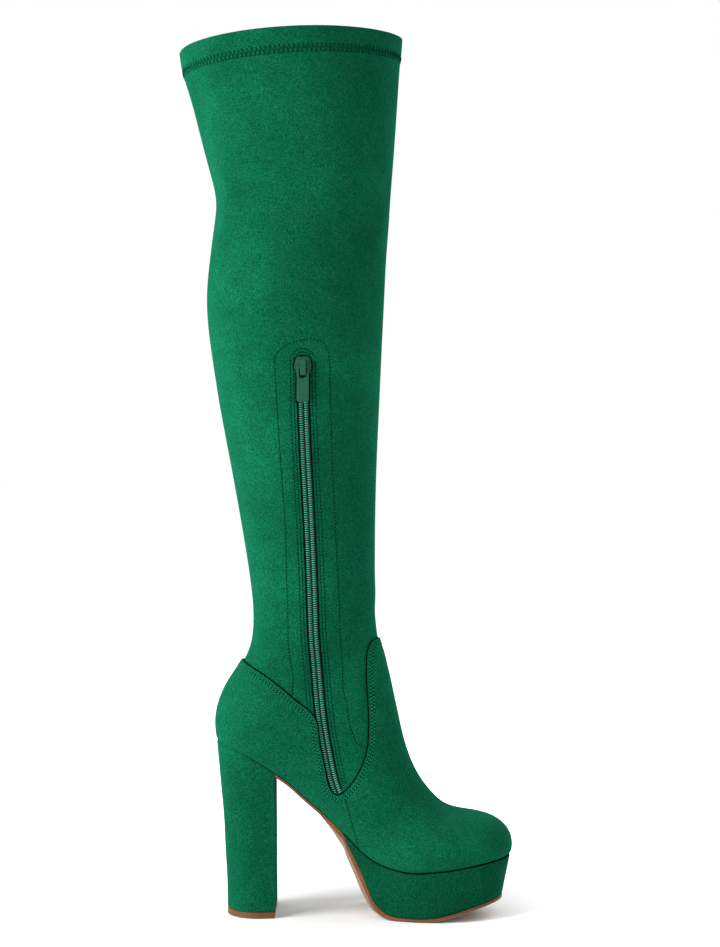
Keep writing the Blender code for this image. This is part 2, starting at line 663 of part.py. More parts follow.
def edge_region(lap, far):
    """All that lies between the upper's top edge, moved by the lap, and a height, as an outline."""
    edge = topline(lap)
    return edge + [(-REACH, edge[-1][1]), (-REACH, far), (REACH, far), (REACH, edge[0][1])]


def slot_outline():
    """The zip's slot in the shaft, with a round top end."""
    half = SLOT_WIDTH / 2
    heights = np.linspace(ZIP_BOTTOM - ZIP_END_DROP / 2, ZIP_TOP - half, ZIP_STOPS)
    front = [(zip_middle(z) + half, z) for z in heights]
    back = [(zip_middle(z) - half, z) for z in heights[::-1]]
    top = zip_middle(ZIP_TOP - half)
    arch = [(top + half * math.cos(a), ZIP_TOP - half + half * math.sin(a))
            for a in np.linspace(0, math.pi, ARCH_STOPS)[1:-1]]
    return front + arch + back


def row_at_front(height):
    """The section whose front is at a height."""
    low = HEEL_CORNER
    high = COLLAR_END
    for _ in range(SEARCHES):
        s = (low + high) / 2
        if section_value("front_z", s) < height:
            low = s
        else:
            high = s
    return s


def wall_stops():
    """The sections that the upper's and the shaft's walls share."""
    return seat_stops() + list(KNOTS[len(FOOT_ROWS):])


def shaft_rows():
    """The shaft's sections from under the vamp to the collar, with the hem's step."""
    hem = row_at_front(BOOT_HEIGHT - HEM_HEIGHT)
    rows = [s for s in wall_stops() if KNOTS[SHAFT_START] < s < hem - HEM_RAMP]
    offsets = [0.0] * len(rows)
    rows += [hem - HEM_RAMP, hem, COLLAR_END]
    offsets += [0.0, HEM_STEP, HEM_STEP]
    return rows, offsets


def build_shaft(material):
    """The hollow leg, cut along its lap under the upper and along the zip."""
    turns = np.linspace(-1, 1, TURNS)
    rows, offsets = shaft_rows()
    outer = [wall_row(s, turns, offset, 0.0) for s, offset in zip(rows, offsets)]
    inner = [wall_row(s, turns, -SHAFT_WALL, 0.0) for s in rows]
    shaft = wall_between("shaft", outer, inner, material)
    cut(shaft, prism("cut_shaft_below", edge_region(LAP, -REACH), -REACH, REACH))
    cut(shaft, prism("cut_zip_slot", slot_outline(), -REACH, 0.0))
    return shaft


def build_upper(material):
    """The hollow foot part, cut along its top edge and open on the sole."""
    turns = np.linspace(-1, 1, TURNS)
    rows = [s for s in wall_stops() if s < KNOTS[UPPER_END] + STEP]
    outer = [wall_row(s, turns, GAP + UPPER_WALL, GAP / 2) for s in rows]
    inner = [wall_row(s, turns, GAP, GAP / 2) for s in rows]
    upper = wall_between("upper", outer, inner, material)
    cut(upper, prism("cut_topline", edge_region(0.0, BOOT_HEIGHT + REACH), -REACH, REACH))
    return upper


def outline(stops, offset, height):
    """The seat's outline over some sections, with a height for each x."""
    runs = []
    for side in (MEDIAL, LATERAL):
        run = []
        for s in stops:
            shift = offset(s) if callable(offset) else offset
            x, y = edge_point(s, side, shift)
            run.append((x, y, float(height(x))))
        runs.append(run)
    return runs


def sole_stop(x):
    """The way along the seat where its middle is at x."""
    low = 0.0
    high = HEEL_CORNER
    for _ in range(SEARCHES):
        s = (low + high) / 2
        if section_value("bottom_x", s) > x:
            low = s
        else:
            high = s
    return s


def seat_stops():
    """The sections that everything on the seat shares, from the toe to the heel's back."""
    knots = KNOTS[:len(FOOT_ROWS)]
    middles = (knots[1:] + knots[:-1]) / 2
    middles = [*middles[:TOE_FINE], *middles[HEEL_FINE:]]
    ends = [platform_tail(), sole_stop(BREAST + GAP), sole_stop(BREAST - GAP)]
    stops = [s for s in [*knots, *middles] if min(abs(s - e) for e in ends) > 2 * GAP]
    return sorted(stops + ends)


def stops_between(start, end):
    """The shared sections from one place along the seat to another, heel end first."""
    return [s for s in seat_stops() if start - STEP < s < end + STEP][::-1]


def build_insole(material):
    """The inner sole, inside the upper's wall, from heel to toe."""
    stops = stops_between(0.0, HEEL_CORNER)
    edge = -INSOLE_CLEARANCE
    under = outline(stops, edge, lambda x: feather(x) + GAP / 2)
    over = outline(stops, edge, lambda x: feather(x) + GAP / 2 + INSOLE_THICKNESS)
    return stacked("insole", [under, over], material)


def sole_edge_offset(s):
    """How far the outsole's edge stands out from the seat's own line."""
    flush = GAP + UPPER_WALL
    rake = toe_share(s) * (PLATFORM_RAKE - PLATFORM_DRAFT)
    forefoot = flush + PLATFORM_FLANGE - PLATFORM_DRAFT - rake
    mix = float(np.clip((platform_tail() - s) / PLATFORM_BLEND, 0, 1))
    return flush * (1 - mix) + forefoot * mix


def toe_share(s):
    """1 at the toe's tip and 0 from the ball back."""
    return float(np.clip(1 - s / KNOTS[BALL_ROW], 0, 1))**RAKE_BEND


def platform_tail():
    """Where the platform thins out at its rear end."""
    low = sole_stop(along(0.60))
    high = sole_stop(along(0.40))
    for _ in range(SEARCHES):
        s = (low + high) / 2
        x = section_value("bottom_x", s)
        if feather(x) - sole_top(x) > PLATFORM_TAIL + GAP:
            low = s
        else:
            high = s
    return s


def build_platform(material):
    """The covered platform between the seat and the outsole."""
    stops = stops_between(0.0, platform_tail())
    over = outline(stops, GAP + UPPER_WALL + PLATFORM_FLANGE, lambda x: feather(x) - GAP / 2)
    under = outline(stops, sole_edge_offset, lambda x: sole_top(x) + GAP / 2)
    return stacked("platform", [under, over], material)


def build_outsole(material):
    """The thin sole from the toe to the heel's breast."""
    stops = stops_between(0.0, sole_stop(BREAST + GAP))

    def drop(share):
        return lambda x: (sole_top(x) - GAP / 2
                          - (SOLE_THICKNESS(share_along(x)) * SOLE_EDGE - GAP / 2) * share(x))

    def bevelled(s):
        x = section_value("bottom_x", s)
        slope = np.clip((SOLE_THICKNESS(share_along(x)) - 1) / BEVEL_RANGE, 0, 1)
        return sole_edge_offset(s) - SOLE_UNDERCUT - SOLE_BEVEL * slope

    over = outline(stops, sole_edge_offset, drop(lambda x: 0.0))
    edge = outline(stops, sole_edge_offset, drop(lambda x: SOLE_SQUARE(share_along(x))))
    under = outline(stops, bevelled, drop(lambda x: 1.0))
    return stacked("outsole", [under, edge, over], material)


def heel_outline(flare):
    """The heel's outline, from its bottom form at flare 0 to the seat's at 1."""
    stops = stops_between(sole_stop(BREAST - GAP), HEEL_CORNER)
    seat = outline(stops, GAP + UPPER_WALL, lambda x: 0.0)
    back = seat[0][0][0]
    front = BREAST - GAP
    shrink = (HEEL_BOTTOM_FRONT + HEEL_BOTTOM_BACK) / (front - back)
    runs = []
    for run in seat:
        moved = []
        for x, y, _ in run:
            low_x = HEEL_BOTTOM_FRONT - (front - x) * shrink
            moved.append((low_x + (x - low_x) * flare,
                          y * (HEEL_BOTTOM_TAPER + (1 - HEEL_BOTTOM_TAPER) * flare), x))
        runs.append(moved)
    return runs


def build_heel(material):
    """The covered block heel under the seat."""
    flares = table(HEEL_FLARE_ROWS, HEEL_FLARE_COLUMNS)
    layers = []
    for level, flare in zip(flares["level"], flares["flare"]):
        runs = []
        for run in heel_outline(flare):
            heights = [TOP_PIECE + level * (float(feather(seat_x)) - GAP / 2 - TOP_PIECE)
                       for _, _, seat_x in run]
            runs.append([(x, y, z) for (x, y, _), z in zip(run, heights)])
        layers.append(runs)
    return stacked("heel", layers, material)


def build_heel_top_piece(material):
    """The wearing piece that stands on the floor."""
    runs = heel_outline(0.0)
    layers = [[[(x, y, z) for x, y, _ in run] for run in runs] for z in (0.0, TOP_PIECE - GAP)]
    return stacked("heel_top_piece", layers, material)


def zip_outline(low, high, width):
    """A band along the zip's middle line, seen from the side."""
    heights = np.linspace(low, high, ZIP_STOPS)
    return ([(zip_middle(z) + width / 2, z) for z in heights]
            + [(zip_middle(z) - width / 2, z) for z in heights[::-1]])


def zip_strip(name, low, high, width, outer, inner, material):
    """A strip behind or in the slot, parallel to the shaft's own facets."""
    turns = [turn for turn in np.linspace(-1, 1, TURNS) if ZIP_SECTOR[0] < turn < ZIP_SECTOR[1]]
    rows = [s for s in wall_stops() if KNOTS[SHAFT_START] < s < row_at_front(high + width)]
    grids = [[section_points(s, turns) + offset * section_normals(s, turns) for s in rows]
             for offset in (outer, inner)]
    strip = wall_between(name, grids[0], grids[1], material)
    cut(strip, prism("keep_" + name, zip_outline(low, high, width), -REACH, 0.0), "INTERSECT")
    return strip


def build_zip_tape(material):
    """The tape behind the slot."""
    face = -SHAFT_WALL - GAP
    return zip_strip("zip_tape", ZIP_BOTTOM - TAPE_MARGIN, ZIP_TOP + TAPE_MARGIN, TAPE_WIDTH,
                     face, face - TAPE_THICKNESS, material)


def build_zip_coil(material):
    """The closed coil in the slot."""
    return zip_strip("zip_coil", ZIP_BOTTOM, COIL_TOP, COIL_WIDTH,
                     COIL_PROUD, -SHAFT_WALL, material)


def slider_frame():
    """The slider's seat on the coil, and its sideways, upward and outward directions."""
    seat = side_point(zip_middle(SLIDER_MIDDLE), SLIDER_MIDDLE, MEDIAL, COIL_PROUD + GAP)
    high = SLIDER_MIDDLE + SLIDER_REACH
    low = SLIDER_MIDDLE - SLIDER_REACH
    above = side_point(zip_middle(high), high, MEDIAL, 0.0)
    below = side_point(zip_middle(low), low, MEDIAL, 0.0)
    up = (above - below) / np.linalg.norm(above - below)
    out = np.cross(np.array([1.0, 0.0, 0.0]), up)
    out = out / np.linalg.norm(out)
    across = np.cross(up, out)
    return seat, across, up, out


def placed(frame, across, up, out):
    """A point of the slider's own frame in the boot's."""
    seat, x_way, z_way, out_way = frame
    return seat + across * x_way + up * z_way + out * out_way


def drawn_out(name, outline_points, frame, low, high, way, material):
    """A prism in the slider's frame. way names the axis that it is drawn out along."""
    bm = bmesh.new()
    rings = []
    for depth in (low, high):
        ring = []
        for a, b in outline_points:
            local = (a, b, depth) if way == "out" else (depth, a, b)
            ring.append(bm.verts.new(placed(frame, *local)))
        rings.append(ring)
    bm.faces.new(rings[0])
    bm.faces.new(list(reversed(rings[1])))
    count = len(outline_points)
    for i in range(count):
        j = (i + 1) % count
        bm.faces.new([rings[0][i], rings[1][i], rings[1][j], rings[0][j]])
    return new_object(name, bm, material)


def crown_outline():
    """The crown's arch from the side, as up and out."""
    def arch(length, rise):
        return [(length / 2 * math.cos(a), SLIDER_PLATE + rise * math.sin(a)**CROWN_BEND)
                for a in np.linspace(0, math.pi, CROWN_STOPS)]

    half = CROWN_LENGTH / 2
    foot = SLIDER_PLATE / 2
    outside = arch(CROWN_LENGTH, CROWN_HOLE + CROWN_BAR)
    inside = arch(CROWN_LENGTH - 2 * CROWN_POST, CROWN_HOLE)[::-1]
    lower_end = [(-half, foot), (-half + CROWN_POST, foot)]
    return [(half, foot)] + outside + lower_end + inside + [(half - CROWN_POST, foot)]


def build_zip_slider(material):
    """The slider's plate with its crown."""
    frame = slider_frame()
    right = [(wide * width / 2, high * SLIDER_HEIGHT / 2) for width, wide, high in SLIDER_OUTLINE]
    plate = right + [(-across, high) for across, high in right[::-1]]
    slider = drawn_out("zip_slider", plate, frame, 0.0, SLIDER_PLATE, "out", material)
    crown = drawn_out("add_crown", crown_outline(), frame, -CROWN_WIDTH / 2, CROWN_WIDTH / 2,
                      "across", None)
    crown.hide_render = True
    crown.display_type = "WIRE"
    cut(slider, crown, "UNION")
    return slider


def hinge_point():
    """The pull tab's axis, under the crown."""
    return placed(slider_frame(), 0.0, 0.0, SLIDER_PLATE + CROWN_HOLE / 2)


def build_zip_pull_tab(material):
    """The pull tab: a bar under the crown, two arms beside it and a plate."""
    pivot = hinge_point()
    half = TAB_WIDTH / 2
    bar = TAB_THICKNESS / 2
    arm = half - TAB_ARM
    bottom = -TAB_LENGTH + bar
    corner = TAB_CORNER
    outside = [(-half, bar), (-half, bottom + corner), (-half + corner, bottom),
               (half - corner, bottom), (half, bottom + corner), (half, bar)]
    inside = [(-arm, -bar), (-arm, -TAB_WINDOW + corner), (-arm + corner, -TAB_WINDOW),
              (arm - corner, -TAB_WINDOW), (arm, -TAB_WINDOW + corner), (arm, -bar)]
    bm = bmesh.new()
    layers = []
    for depth in (-bar, bar):
        layers.append([[bm.verts.new((x, depth, z)) for x, z in ring]
                       for ring in (outside, inside)])
    for i in range(len(outside)):
        j = (i + 1) % len(outside)
        for outer_ring, inner_ring in layers:
            bm.faces.new([outer_ring[i], outer_ring[j], inner_ring[j], inner_ring[i]])
        for k in (0, 1):
            bm.faces.new([layers[0][k][i], layers[0][k][j], layers[1][k][j], layers[1][k][i]])
    bmesh.ops.remove_doubles(bm, verts=bm.verts, dist=1e-6)
    tab = new_object("zip_pull_tab", bm, material)
    tab.location = pivot
    return tab


def main():
    """Clear the scene and build the boot."""
    for obj in list(bpy.data.objects):
        bpy.data.objects.remove(obj, do_unlink=True)
    suede = make_material("green_suede", (0.006, 0.155, 0.065), 0.9)
    sole = make_material("tan_sole", (0.26, 0.13, 0.06), 0.6)
    lining = make_material("insole_lining", (0.45, 0.36, 0.26), 0.8)
    tape = make_material("zip_tape_green", (0.006, 0.06, 0.03), 0.85)
    painted = make_material("zip_green_paint", (0.02, 0.12, 0.07), 0.45)
    build_upper(suede)
    build_shaft(suede)
    build_insole(lining)
    build_platform(suede)
    build_outsole(sole)
    build_heel(suede)
    build_heel_top_piece(sole)
    build_zip_tape(tape)
    build_zip_coil(painted)
    build_zip_slider(painted)
    build_zip_pull_tab(painted)


main()
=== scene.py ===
"""Looks of the left thigh high boot: suede skins, seams, zip, floor, light and camera.

All sizes are metres, in the part's own frame: toe +X, inner (medial) side -Y, +Z up.
"""

import json
import math

import bmesh
import bpy
import numpy as np
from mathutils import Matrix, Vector

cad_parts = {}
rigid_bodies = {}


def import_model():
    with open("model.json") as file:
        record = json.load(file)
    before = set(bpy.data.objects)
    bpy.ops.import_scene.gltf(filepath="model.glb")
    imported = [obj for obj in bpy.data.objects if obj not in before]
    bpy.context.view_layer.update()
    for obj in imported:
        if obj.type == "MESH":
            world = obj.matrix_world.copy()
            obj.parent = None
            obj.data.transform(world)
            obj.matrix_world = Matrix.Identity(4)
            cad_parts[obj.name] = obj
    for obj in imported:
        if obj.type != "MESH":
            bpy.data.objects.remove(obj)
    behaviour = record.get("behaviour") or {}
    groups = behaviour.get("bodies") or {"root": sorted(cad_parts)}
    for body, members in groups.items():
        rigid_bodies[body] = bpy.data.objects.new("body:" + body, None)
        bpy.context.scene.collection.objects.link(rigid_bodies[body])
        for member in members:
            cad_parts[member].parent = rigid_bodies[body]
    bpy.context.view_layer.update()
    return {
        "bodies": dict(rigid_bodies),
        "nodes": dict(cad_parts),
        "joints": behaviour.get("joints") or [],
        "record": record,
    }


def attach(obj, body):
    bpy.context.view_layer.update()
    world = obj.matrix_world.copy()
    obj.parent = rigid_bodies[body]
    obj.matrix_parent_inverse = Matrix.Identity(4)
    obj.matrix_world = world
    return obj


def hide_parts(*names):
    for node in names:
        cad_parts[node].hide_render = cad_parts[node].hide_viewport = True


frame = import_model()

# Driving sizes of the last and the leg
LAST_LENGTH = 0.2185
LAST_BACK = 0.1213 * LAST_LENGTH
BALL_WIDTH = 0.083
HEEL_HEIGHT = 0.129
BALL_HEIGHT = 0.0358
TOE_SPRING = 0.0094
VAMP_HEIGHT = 0.1685
COUNTER_HEIGHT = 0.0596
BOOT_HEIGHT = 0.654
ANKLE_LEVEL = 0.205
LEG_LINE = 0.206 * LAST_LENGTH
ANKLE_DEPTH = 0.092
ANKLE_WIDTH = 0.072
CALF_DEPTH = 0.131
CALF_WIDTH = 0.106
KNEE_DEPTH = 0.129
KNEE_WIDTH = 0.108
COLLAR_DEPTH = 0.1655
COLLAR_WIDTH = 0.132

# Walls, gaps and laps
SHAFT_WALL = 0.0014
UPPER_WALL = 0.0015
GAP = 0.0003
LAP = 0.009
HEM_HEIGHT = 0.0185
HEM_STEP = 0.0005
HEM_RAMP = 0.0008

# Sole, heel and insole
SOLE_EDGE = 0.0025
SOLE_BEVEL = 0.0045
PLATFORM_FLANGE = 0.0009
PLATFORM_DRAFT = 0.0015
PLATFORM_RAKE = 0.0064
PLATFORM_TAIL = 0.0012
PLATFORM_BLEND = 0.02
RAKE_BEND = 1.5
BALL_ROW = 7
BREAST = 0.0775 * LAST_LENGTH
HEEL_BOTTOM_BACK = 0.0860 * LAST_LENGTH
HEEL_BOTTOM_FRONT = 0.0785 * LAST_LENGTH
HEEL_BOTTOM_TAPER = 0.96
TOP_PIECE = 0.005

# Zip
ZIP_TOP = 0.4135
SLOT_WIDTH = 0.0085
COIL_WIDTH = 0.0069
COIL_PROUD = 0.0003
COIL_END_GAP = 0.004
COIL_TOP = ZIP_TOP - COIL_END_GAP
SLIDER_HEIGHT = 0.0145
SLIDER_WIDTH = 0.0123
SLIDER_FOOT = 0.0086
SLIDER_PLATE = 0.0014
SLIDER_BELOW_TOP = 0.0083
SLIDER_MIDDLE = ZIP_TOP - SLIDER_BELOW_TOP
SLIDER_REACH = 0.004
TAB_WIDTH = 0.0087
TAB_LENGTH = 0.0262
TAB_THICKNESS = 0.0012
TAB_ARM = 0.0015

# Mesh fineness
LOW_TURN = 0.42
EDGE_BLEND = 0.006
SHAFT_START = 10
UPPER_END = 26
REACH = 0.3
STEP = 1e-5
TURN_STEP = 1e-3
MIDDLE_SHARE = 0.45
SEARCHES = 50
SHARP_ANGLE = 35
TOPLINE_FINE = 4
ZIP_EDGE_STOPS = 5

MEDIAL = -1
LATERAL = 1

# The slider's plate from its foot to its top: a width, a share of it, and a share of its height
SLIDER_OUTLINE = [
    (SLIDER_FOOT, 0.70, -1.00), (SLIDER_FOOT, 1.00, -0.80), (SLIDER_WIDTH, 1.00, -0.15),
    (SLIDER_WIDTH, 1.00, 0.20), (SLIDER_WIDTH, 0.80, 0.80), (SLIDER_WIDTH, 0.62, 1.00),
]

FOOT_COLUMNS = ["bottom", "front", "rise", "centre", "medial_edge", "lateral_edge",
                "medial", "lateral", "widest", "crown"]
# bottom and front are shares of the last's length, rise of the vamp's height, widths of the ball's
FOOT_ROWS = [
    (0.989, 0.989, 0.049, -0.060, 0.000, 0.000, 0.000, 0.000, 0.50, 0.50),
    (0.985, 0.998, 0.086, -0.060, 0.096, 0.096, 0.104, 0.104, 0.50, 0.50),
    (0.974, 0.994, 0.139, -0.060, 0.181, 0.178, 0.197, 0.194, 0.47, 0.50),
    (0.952, 0.975, 0.175, -0.058, 0.268, 0.260, 0.292, 0.284, 0.43, 0.50),
    (0.915, 0.941, 0.205, -0.052, 0.346, 0.338, 0.378, 0.372, 0.40, 0.50),
    (0.867, 0.890, 0.225, -0.041, 0.400, 0.395, 0.435, 0.432, 0.37, 0.50),
    (0.808, 0.828, 0.237, -0.028, 0.433, 0.430, 0.475, 0.474, 0.36, 0.50),
    (0.744, 0.773, 0.261, -0.014, 0.443, 0.443, 0.495, 0.497, 0.35, 0.52),
    (0.675, 0.723, 0.319, 0.000, 0.431, 0.438, 0.497, 0.503, 0.34, 0.55),
    (0.606, 0.680, 0.396, 0.014, 0.395, 0.412, 0.479, 0.494, 0.34, 0.58),
    (0.542, 0.649, 0.483, 0.024, 0.355, 0.380, 0.455, 0.475, 0.35, 0.60),
    (0.478, 0.627, 0.577, 0.029, 0.318, 0.347, 0.430, 0.450, 0.36, 0.62),
    (0.405, 0.611, 0.672, 0.029, 0.288, 0.314, 0.407, 0.423, 0.37, 0.62),
    (0.327, 0.597, 0.755, 0.024, 0.276, 0.294, 0.391, 0.402, 0.38, 0.62),
    (0.249, 0.586, 0.823, 0.017, 0.281, 0.291, 0.383, 0.389, 0.39, 0.62),
    (0.176, 0.576, 0.877, 0.010, 0.294, 0.298, 0.382, 0.384, 0.39, 0.62),
    (0.112, 0.568, 0.921, 0.004, 0.296, 0.296, 0.384, 0.384, 0.385, 0.61),
    (0.062, 0.562, 0.949, 0.001, 0.251, 0.251, 0.386, 0.386, 0.38, 0.60),
    (0.027, 0.5575, 0.966, 0.000, 0.172, 0.172, 0.389, 0.389, 0.38, 0.60),
    (0.0105, 0.555, 0.978, 0.000, 0.083, 0.083, 0.392, 0.392, 0.38, 0.60),
    (0.006, 0.5525, 0.986, 0.000, 0.000, 0.000, 0.395, 0.395, 0.38, 0.60),
]

HEEL_COLUMNS = ["back", "back_rise", "front", "front_rise", "half", "widest", "crown"]
# back and front are shares of the last's length, back_rise of the counter's height
HEEL_ROWS = [
    (0.000, 0.164, 0.5505, 0.998, 0.400, 0.385, 0.60),
    (0.004, 0.378, 0.548, 1.019, 0.408, 0.39, 0.59),
    (0.029, 0.639, 0.545, 1.049, 0.417, 0.40, 0.58),
    (0.065, 0.856, 0.542, 1.087, 0.424, 0.41, 0.57),
    (0.101, 1.074, 0.540, 1.135, 0.429, 0.43, 0.56),
]

ANKLE = (ANKLE_DEPTH, ANKLE_WIDTH)
CALF = (CALF_DEPTH, CALF_WIDTH)
KNEE = (KNEE_DEPTH, KNEE_WIDTH)
COLLAR = (COLLAR_DEPTH, COLLAR_WIDTH)

LEG_COLUMNS = ["girth", "back_rise", "front_rise", "back", "front", "medial", "lateral",
               "widest", "crown"]
# rises are shares of the leg's height, the others of the girth's own depth and width
LEG_ROWS = [
    (ANKLE, 0.002, 0.069, 0.496, 0.509, 0.497, 0.497, 0.45, 0.55),
    (ANKLE, 0.038, 0.101, 0.485, 0.506, 0.503, 0.503, 0.46, 0.55),
    (ANKLE, 0.083, 0.139, 0.502, 0.505, 0.518, 0.515, 0.46, 0.55),
    (CALF, 0.145, 0.192, 0.383, 0.356, 0.374, 0.368, 0.45, 0.55),
    (CALF, 0.221, 0.260, 0.427, 0.361, 0.410, 0.396, 0.44, 0.54),
    (CALF, 0.302, 0.331, 0.478, 0.370, 0.452, 0.428, 0.43, 0.54),
    (CALF, 0.378, 0.400, 0.527, 0.381, 0.486, 0.458, 0.425, 0.53),
    (CALF, 0.456, 0.472, 0.570, 0.392, 0.505, 0.480, 0.42, 0.53),
    (CALF, 0.521, 0.532, 0.599, 0.402, 0.508, 0.494, 0.425, 0.53),
    (CALF, 0.570, 0.579, 0.606, 0.410, 0.506, 0.500, 0.43, 0.53),
    (KNEE, 0.633, 0.638, 0.597, 0.427, 0.494, 0.494, 0.45, 0.52),
    (KNEE, 0.687, 0.691, 0.573, 0.441, 0.498, 0.498, 0.47, 0.52),
    (KNEE, 0.727, 0.732, 0.563, 0.450, 0.506, 0.506, 0.48, 0.52),
    (COLLAR, 0.776, 0.781, 0.466, 0.361, 0.427, 0.427, 0.48, 0.52),
    (COLLAR, 0.846, 0.852, 0.516, 0.375, 0.453, 0.453, 0.49, 0.53),
    (COLLAR, 0.901, 0.924, 0.556, 0.388, 0.477, 0.477, 0.48, 0.56),
    (COLLAR, 0.939, 0.966, 0.586, 0.396, 0.491, 0.491, 0.47, 0.62),
    (COLLAR, 0.973, 1.000, 0.601, 0.403, 0.500, 0.500, 0.46, 0.66),
]

FEATHER_COLUMNS = ["along", "arch", "spring"]
# the seat's height: arch is a share of the heel's rise over the ball, spring of the toe's
FEATHER_ROWS = [
    (0.000, 1.000, 0.00), (0.040, 0.972, 0.00), (0.081, 0.932, 0.00), (0.127, 0.876, 0.00),
    (0.166, 0.820, 0.00), (0.207, 0.751, 0.00), (0.245, 0.687, 0.00), (0.297, 0.578, 0.00),
    (0.349, 0.475, 0.00), (0.400, 0.366, 0.00), (0.444, 0.262, 0.00), (0.487, 0.162, 0.00),
    (0.539, 0.073, 0.00), (0.600, 0.020, 0.00), (0.668, 0.000, 0.00), (0.750, 0.000, 0.15),
    (0.806, 0.000, 0.32), (0.849, 0.000, 0.49), (0.892, 0.000, 0.67), (0.950, 0.000, 0.89),
    (0.998, 0.000, 1.00),
]

SOLE_COLUMNS = ["along", "line", "thickness", "square"]
# line: share of the height from the sole's edge up to the seat; thickness: share of the edge;
# square: share of the thickness that is the upright edge above the bevel
SOLE_ROWS = [
    (0.207, 1.000, 0.90, 1.00), (0.297, 1.000, 1.00, 1.00), (0.349, 1.000, 1.20, 0.90),
    (0.378, 1.000, 2.20, 0.60), (0.410, 1.000, 3.60, 0.46), (0.430, 1.000, 4.40, 0.42),
    (0.441, 0.945, 4.80, 0.42), (0.468, 0.832, 5.40, 0.45), (0.492, 0.686, 5.90, 0.47),
    (0.516, 0.464, 4.80, 0.50), (0.527, 0.341, 3.80, 0.55), (0.549, 0.188, 2.60, 0.64),
    (0.574, 0.082, 1.75, 0.75), (0.592, 0.034, 1.35, 0.77), (0.615, 0.008, 1.10, 0.80),
    (0.645, 0.000, 1.00, 0.80), (0.690, 0.000, 1.00, 0.80), (0.729, 0.020, 1.00, 0.80),
    (0.749, 0.037, 1.00, 0.80), (0.770, 0.068, 1.00, 0.80), (0.809, 0.130, 1.00, 0.80),
    (0.849, 0.196, 1.00, 0.80), (0.890, 0.253, 1.00, 0.80), (0.920, 0.290, 1.00, 0.80),
    (0.952, 0.317, 1.00, 0.80), (0.980, 0.338, 1.00, 0.80),
]

HEEL_FLARE_COLUMNS = ["level", "flare"]
# how far the heel has widened from its bottom outline to its seat, by level
HEEL_FLARE_ROWS = [(0.00, 0.00), (0.17, 0.06), (0.35, 0.22), (0.52, 0.34), (0.70, 0.58),
                   (0.86, 0.80), (1.00, 1.00)]

TOPLINE_COLUMNS = ["along", "rise", "lap_x", "lap_z"]
# the upper's top edge seen from the side, and the way that the shaft laps under it
VAMP_EDGE = [
    (0.620, 1.006, 0.0, -1.0), (0.560, 1.004, 0.0, -1.0), (0.534, 0.995, 0.3, -1.0),
    (0.520, 0.968, 0.8, -0.6), (0.513, 0.905, 1.0, 0.0), (0.513, 0.820, 1.0, 0.0),
    (0.518, 0.725, 1.0, 0.0), (0.520, 0.618, 1.0, 0.0), (0.516, 0.541, 1.0, -0.1),
    (0.500, 0.470, 0.9, -0.4), (0.474, 0.405, 0.8, -0.6), (0.441, 0.352, 0.6, -0.8),
]
COUNTER_EDGE = [
    (0.314, 0.704, -0.6, -0.8), (0.290, 0.728, -0.5, -0.9), (0.225, 0.799, -0.5, -0.9),
    (0.159, 0.862, -0.4, -0.9), (0.108, 0.896, -0.3, -1.0), (0.040, 0.925, -0.2, -1.0),
    (-0.040, 0.945, 0.0, -1.0),
]
ZIP_END_DROP = 0.0035
COUNTER_CORNER_HEIGHT = 0.147

ZIP_COLUMNS = ["height", "along"]
# the zip's middle line: height is a share of the boot's, along of the last's length
ZIP_ROWS = [
    (0.125, 0.441), (0.1457, 0.410), (0.155, 0.400), (0.181, 0.382), (0.2085, 0.3665),
    (0.248, 0.351), (0.284, 0.342), (0.316, 0.334), (0.354, 0.3295), (0.423, 0.322),
    (0.469, 0.3155), (0.515, 0.3085), (0.583, 0.301), (0.650, 0.299),
]
ZIP_BOTTOM = 0.095


def table(rows, columns):
    """The rows' columns by name."""
    return {name: np.array([row[i] for row in rows]) for i, name in enumerate(columns)}


def smooth_curve(knots, values, start_flat=False, end_flat=False):
    """A curve of even bend through the values, level at an end that is flat."""
    knots = np.asarray(knots, float)
    values = np.asarray(values, float)
    count = len(knots)
    span = np.diff(knots)
    slope = np.diff(values) / span
    matrix = np.zeros((count, count))
    right = np.zeros(count)
    for i in range(1, count - 1):
        matrix[i, i - 1] = span[i - 1]
        matrix[i, i] = 2 * (span[i - 1] + span[i])
        matrix[i, i + 1] = span[i]
        right[i] = 6 * (slope[i] - slope[i - 1])
    matrix[0, 0] = 1.0
    matrix[-1, -1] = 1.0
    if start_flat:
        matrix[0, :2] = (2 * span[0], span[0])
        right[0] = 6 * slope[0]
    if end_flat:
        matrix[-1, -2:] = (span[-1], 2 * span[-1])
        right[-1] = -6 * slope[-1]
    bend = np.linalg.solve(matrix, right)

    def curve(at):
        at = np.clip(at, knots[0], knots[-1])
        i = np.clip(np.searchsorted(knots, at, side="right") - 1, 0, count - 2)
        left = (knots[i + 1] - at) / span[i]
        ahead = (at - knots[i]) / span[i]
        pull = ((left**3 - left) * bend[i] + (ahead**3 - ahead) * bend[i + 1]) * span[i]**2 / 6
        return left * values[i] + ahead * values[i + 1] + pull

    return curve


def steady_curve(knots, values):
    """A smooth curve through the values that never swings past them."""
    knots = np.asarray(knots, float)
    values = np.asarray(values, float)
    span = np.diff(knots)
    slope = np.diff(values) / span
    tangent = np.zeros(len(knots))
    tangent[0] = slope[0]
    tangent[-1] = slope[-1]
    for i in range(1, len(knots) - 1):
        if slope[i - 1] * slope[i] > 0:
            tangent[i] = 2 / (1 / slope[i - 1] + 1 / slope[i])

    def curve(at):
        at = np.clip(at, knots[0], knots[-1])
        i = np.clip(np.searchsorted(knots, at, side="right") - 1, 0, len(knots) - 2)
        u = (at - knots[i]) / span[i]
        return ((2 * u**3 - 3 * u**2 + 1) * values[i] + (u**3 - 2 * u**2 + u) * span[i] * tangent[i]
                + (3 * u**2 - 2 * u**3) * values[i + 1] + (u**3 - u**2) * span[i] * tangent[i + 1])

    return curve


